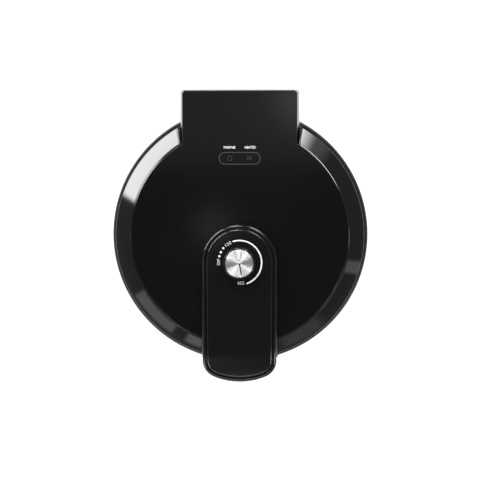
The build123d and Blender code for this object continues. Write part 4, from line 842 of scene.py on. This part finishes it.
sign_grey = finish("sign_grey", (0.02, 0.02, 0.021), rough=0.4, spread=0.03, grain=900, bump=0.03, shift=0.08)
signs = [[(px - SIGN_X, py) for px, py in face]
         for face in sweep_strip(SIGN_R, SIGN_STROKE, 0, 360, WINDOW_Y, 15)]
for x in (SIGN_X - BAR_PITCH, SIGN_X, SIGN_X + BAR_PITCH):
    signs.append([(x - BAR_HALF_W, WINDOW_Y - BAR_HALF_H), (x + BAR_HALF_W, WINDOW_Y - BAR_HALF_H),
                  (x + BAR_HALF_W, WINDOW_Y + BAR_HALF_H), (x - BAR_HALF_W, WINDOW_Y + BAR_HALF_H)])
print_and_highlight_piece("window_signs", signs, SIGN_Z, "lid", sign_grey)
for word, text, x, width in (("mains_word", "MAINS", -13.2, 15.0), ("heated_word", "HEATED", 13.7, 14.2)):
    lettering(word, text, WORD_H, width, x, WORD_Y, WORD_Z, 0, "lid", print_white, WORD_WEIGHT)


# Plates. Two aluminium castings with a dark non-stick coat baked on, which has a faint speckle and
# a low sheen. The lower one lies in the base's rebate and the upper one is screwed to the liner.
nonstick = finish("nonstick_coat", (0.022, 0.022, 0.024), rough=0.33, spread=0.06, grain=650, bump=0.25,
                  depth=0.00006, blotch=240, shift=0.35)
for node, name, body in (("lower_cooking_plate", "lower_plate_casting", "base"),
                         ("upper_cooking_plate", "upper_plate_casting", "lid")):
    casting = tidy_copy(node, name)
    casting.data.materials.append(nonstick)
    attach(casting, body)
    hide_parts(node)


# Lid liner. A ring of the grained moulding between the upper plate and the bevel ring. The plate
# is screwed to it, and its face closes on the base's rim.
liner = tidy_copy("lid_liner", "liner_ring")
liner.data.materials.append(grained_black)
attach(liner, "lid")
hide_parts("lid_liner")


# Hinge. Pressed steel arms, screwed under the roof of the lid's box, swing on headed steel pins
# that are pressed into the base's knuckle, with pale polymer bushes between them.
sheet_steel = finish("sheet_steel", (0.44, 0.44, 0.45), metal=1.0, rough=0.34, spread=0.07, grain=700,
                     bump=0.1, depth=0.00003, blotch=90, shift=0.1)
pin_steel = finish("pin_steel", (0.5, 0.5, 0.51), metal=1.0, rough=0.22, spread=0.05, grain=1200, bump=0.05)
bush_polymer = finish("bush_polymer", (0.68, 0.67, 0.62), rough=0.45, spread=0.05, bump=0.08)
for node, name, body, material, slot in (
        ("lid_hinge_arms", "hinge_arm_pressings", "lid", sheet_steel, "sheet_steel"),
        ("hinge_pins", "hinge_pin_set", "base", pin_steel, "pin_steel"),
        ("hinge_bushes", "hinge_bush_set", "lid", bush_polymer, "bush_polymer")):
    piece = tidy_copy(node, name)
    piece.data.materials.append(material)
    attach(piece, body)
    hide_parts(node)


# Feet and cord inlet. Moulded black rubber with a slight bloom: the feet's stems snap through the
# underside, and the bush sits in a hole in the rear wall.
soft_rubber = finish("soft_rubber", (0.012, 0.012, 0.012), rough=0.68, spread=0.06, grain=1400, bump=0.3,
                     depth=0.00005, blotch=120, shift=0.2)
for node, name in (("rubber_feet", "foot_pads"), ("cord_inlet", "inlet_bush")):
    piece = tidy_copy(node, name)
    piece.data.materials.append(soft_rubber)
    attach(piece, "base")
    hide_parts(node)


# Inner works. They keep the frame's own solids: sheathed elements, clips, reflectors, the
# thermostat and its bracket, leads, lamps and screws, each in its own finish.
dark_sheath = finish("dark_sheath", (0.17, 0.155, 0.14), metal=1.0, rough=0.42, spread=0.1, grain=800,
                     bump=0.1, blotch=60, shift=0.3)
pale_body = finish("pale_body", (0.66, 0.63, 0.56), rough=0.6, spread=0.05, bump=0.15)
braid = finish("braided_sleeve", (0.5, 0.47, 0.4), rough=0.85, spread=0.05, grain=3000, bump=0.8,
               depth=0.0001)
lamp_red = finish("lamp_red", (0.4, 0.05, 0.03), rough=0.15, spread=0.02, bump=0.01)
inner = {
    "terminal_block": pale_body, "base_wiring": braid, "lower_plate_screws": zinc_plate,
    "lower_heating_element": dark_sheath, "lower_element_clips": sheet_steel, "lower_reflector": sheet_steel,
    "lower_reflector_screws": zinc_plate, "thermal_fuse": pale_body, "arm_screws": zinc_plate,
    "cover_screws": zinc_plate, "upper_plate_screws": zinc_plate, "upper_heating_element": dark_sheath,
    "upper_element_clips": sheet_steel, "upper_reflector": sheet_steel, "upper_reflector_screws": zinc_plate,
    "lamp_holder": dull_black, "indicator_lamps": lamp_red, "handle_screws": zinc_plate,
    "thermostat_body": pale_body, "thermostat_bracket": sheet_steel, "thermostat_nut": zinc_plate,
    "lid_wiring": braid, "thermostat_shaft": pin_steel}
for node, material in inner.items():
    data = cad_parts[node].data
    if data.materials:
        for index in range(len(data.materials)):
            data.materials[index] = material
    else:
        data.materials.append(material)


# Studio. A white table under the object, and soft lights round it: a row low over the table, the
# largest at the rear left, a row half way up, and a few almost overhead. The camera looks down.
TABLE_HALF, TABLE_DROP = 6.0, 0.0002
table_data = bpy.data.meshes.new("white_table")
table_data.from_pydata([(x * TABLE_HALF, y * TABLE_HALF, -TABLE_DROP)
                        for x, y in ((-1, -1), (1, -1), (1, 1), (-1, 1))], [], [(0, 1, 2, 3)])
table = placed("white_table", table_data)
white = bpy.data.materials.new("white_table")
white.use_nodes = True
nodes, links = white.node_tree.nodes, white.node_tree.links
shader = nodes["Principled BSDF"]
shader.inputs["Base Color"].default_value = (0.36, 0.36, 0.36, 1)
shader.inputs["Roughness"].default_value = 0.9
shader.inputs["Emission Color"].default_value = (1, 1, 1, 1)
seen = nodes.new("ShaderNodeLightPath")
either = nodes.new("ShaderNodeMath")
either.operation = "MAXIMUM"
links.new(seen.outputs["Is Camera Ray"], either.inputs[0])
links.new(seen.outputs["Is Glossy Ray"], either.inputs[1])
place = nodes.new("ShaderNodeTexCoord")
away = nodes.new("ShaderNodeVectorMath")
away.operation = "LENGTH"
links.new(place.outputs["Object"], away.inputs[0])
paler = add(nodes, "ShaderNodeMapRange", {"From Min": 0.5, "From Max": 2.0, "To Min": 0.76, "To Max": 1.0})
links.new(away.outputs["Value"], paler.inputs["Value"])
lift = nodes.new("ShaderNodeMath")
lift.operation = "MULTIPLY"
links.new(paler.outputs["Result"], lift.inputs[1])
links.new(either.outputs[0], lift.inputs[0])
links.new(lift.outputs[0], shader.inputs["Emission Strength"])
table.data.materials.append(white)

world = bpy.data.worlds.new("studio_world")
bpy.context.scene.world = world
world.use_nodes = True
nodes, links = world.node_tree.nodes, world.node_tree.links
nodes.clear()
direction = nodes.new("ShaderNodeTexCoord")
split = nodes.new("ShaderNodeSeparateXYZ")
links.new(direction.outputs["Generated"], split.inputs[0])
ramp = nodes.new("ShaderNodeValToRGB")
stops = ramp.color_ramp.elements
stops[0].position, stops[0].color = 0.0, (0.5, 0.5, 0.5, 1)
stops[1].position, stops[1].color = 0.97, (0.06, 0.06, 0.06, 1)
for height, grey in ((0.06, 0.3), (0.12, 0.24), (0.3, 0.24), (0.6, 0.6), (0.85, 0.18)):
    stop = stops.new(height)
    stop.color = (grey, grey, grey, 1)
links.new(split.outputs["Z"], ramp.inputs["Fac"])
light = add(nodes, "ShaderNodeBackground", {"Strength": 1.0})
links.new(ramp.outputs["Color"], light.inputs["Color"])
plain = add(nodes, "ShaderNodeBackground", {"Color": (1, 1, 1, 1)})
seen = nodes.new("ShaderNodeLightPath")
choose = nodes.new("ShaderNodeMixShader")
links.new(seen.outputs["Is Camera Ray"], choose.inputs["Fac"])
links.new(light.outputs[0], choose.inputs[1])
links.new(plain.outputs[0], choose.inputs[2])
links.new(choose.outputs[0], nodes.new("ShaderNodeOutputWorld").inputs["Surface"])
LIT_HEIGHT = 0.08                   # the lights face a point this far above the table, in metres


def softbox(name, azimuth, elevation, distance, width, height, radiance, fade=0.0):
    """A flat light that faces the lid from a direction given in degrees round and above it. Its
    cloth is dimmer towards its two sides by the share that fade gives."""
    light = bpy.data.lights.new(name, "AREA")
    light.shape = "RECTANGLE"
    light.size = width
    light.size_y = height
    light.energy = radiance * math.pi * width * height
    if fade:
        light.use_nodes = True
        nodes, links = light.node_tree.nodes, light.node_tree.links
        spot = nodes.new("ShaderNodeNewGeometry")
        split = nodes.new("ShaderNodeSeparateXYZ")
        links.new(spot.outputs["Parametric"], split.inputs[0])
        middle = add(nodes, "ShaderNodeMath", {1: 0.5})
        middle.operation = "PINGPONG"
        links.new(split.outputs["X"], middle.inputs[0])
        soft = add(nodes, "ShaderNodeMapRange", {"From Max": 0.5 * fade})
        soft.interpolation_type = "SMOOTHSTEP"
        links.new(middle.outputs[0], soft.inputs["Value"])
        links.new(soft.outputs["Result"], nodes["Emission"].inputs["Strength"])
    piece = placed(name, light)
    a, e = math.radians(azimuth), math.radians(elevation)
    place = Vector((math.cos(a) * math.cos(e), math.sin(a) * math.cos(e), math.sin(e))) * distance
    piece.location = place + Vector((0, 0, LIT_HEIGHT))
    piece.rotation_euler = (-place).to_track_quat("-Z", "Y").to_euler()
    piece.visible_camera = False


# Each light is given by its azimuth, elevation, distance, width, height, radiance and fade.
lights = {
    "key_light": (142, 11, 2.2, 1.97, 0.55, 18, 0.15),
    "rear_light": (102, 14, 2.2, 0.9, 0.6, 14, 0.5),
    "side_light": (64, 11, 2.4, 1.3, 0.55, 16, 0.7),
    "side_tail": (47, 11, 2.4, 0.8, 0.55, 1.0, 0.9),
    "front_left_light": (224, 10, 2.4, 1.1, 0.6, 1.3, 0.15),
    "front_left_strip": (247, 10, 2.4, 0.42, 0.6, 1.5, 0.4),
    "front_light": (300, 10, 2.4, 1.2, 0.6, 0.45, 0.5),
    "right_light": (341, 10, 2.4, 0.34, 0.6, 1.2, 0.5),
    "high_front_left": (226, 43, 2.4, 1.1, 0.3, 24, 0.4),
    "high_rear_left": (131, 43, 2.4, 1.4, 0.3, 14, 0.5),
    "high_rear": (96, 44, 2.4, 0.75, 0.25, 38, 0.6),
    "high_rear_right": (58, 45, 2.4, 1.0, 0.3, 24, 0.5),
    "high_front_right": (324, 45, 2.4, 0.9, 0.3, 28, 0.5),
    "high_left": (184.5, 45, 2.4, 0.3, 0.3, 3, 0.3),
    "high_right": (355.5, 45, 2.4, 0.3, 0.3, 1.0, 0.3),
    "high_front": (268, 45, 2.4, 1.3, 0.3, 7, 0.4),
    "front_glow": (250, 62, 2.4, 0.8, 0.5, 0.45, 0.9),
    "overhead": (90, 76.6, 1.254, 1.0, 0.45, 0.25),
    "near_left": (219.6, 85.7, 1.424, 0.05, 0.05, 1.25),
    "near_right": (63.4, 80.6, 1.44, 0.08, 0.08, 1.9)}
for name, setting in lights.items():
    softbox(name, *setting)

FRAME_PX, MM_PER_PX, CAMERA_RUN, SENSOR = 480, 1.336, 2200, 36
camera_data = bpy.data.cameras.new("camera")
camera = placed("camera", camera_data)
bpy.context.scene.camera = camera
camera_data.sensor_width = SENSOR
camera_data.sensor_fit = "HORIZONTAL"
camera_data.lens = SENSOR * CAMERA_RUN / (FRAME_PX * MM_PER_PX)
camera_data.clip_end = 50
eye = Vector((0.042, 0.134, 2.246))
aim = Vector((-0.0003, -0.0077, 0.050))
forward = (aim - eye).normalized()
right = forward.cross(Vector((0, 1, 0))).normalized()
up = right.cross(forward)
camera.matrix_world = Matrix((
    (right.x, up.x, -forward.x, eye.x), (right.y, up.y, -forward.y, eye.y),
    (right.z, up.z, -forward.z, eye.z), (0, 0, 0, 1)))

bpy.context.scene.view_settings.view_transform = "Standard"
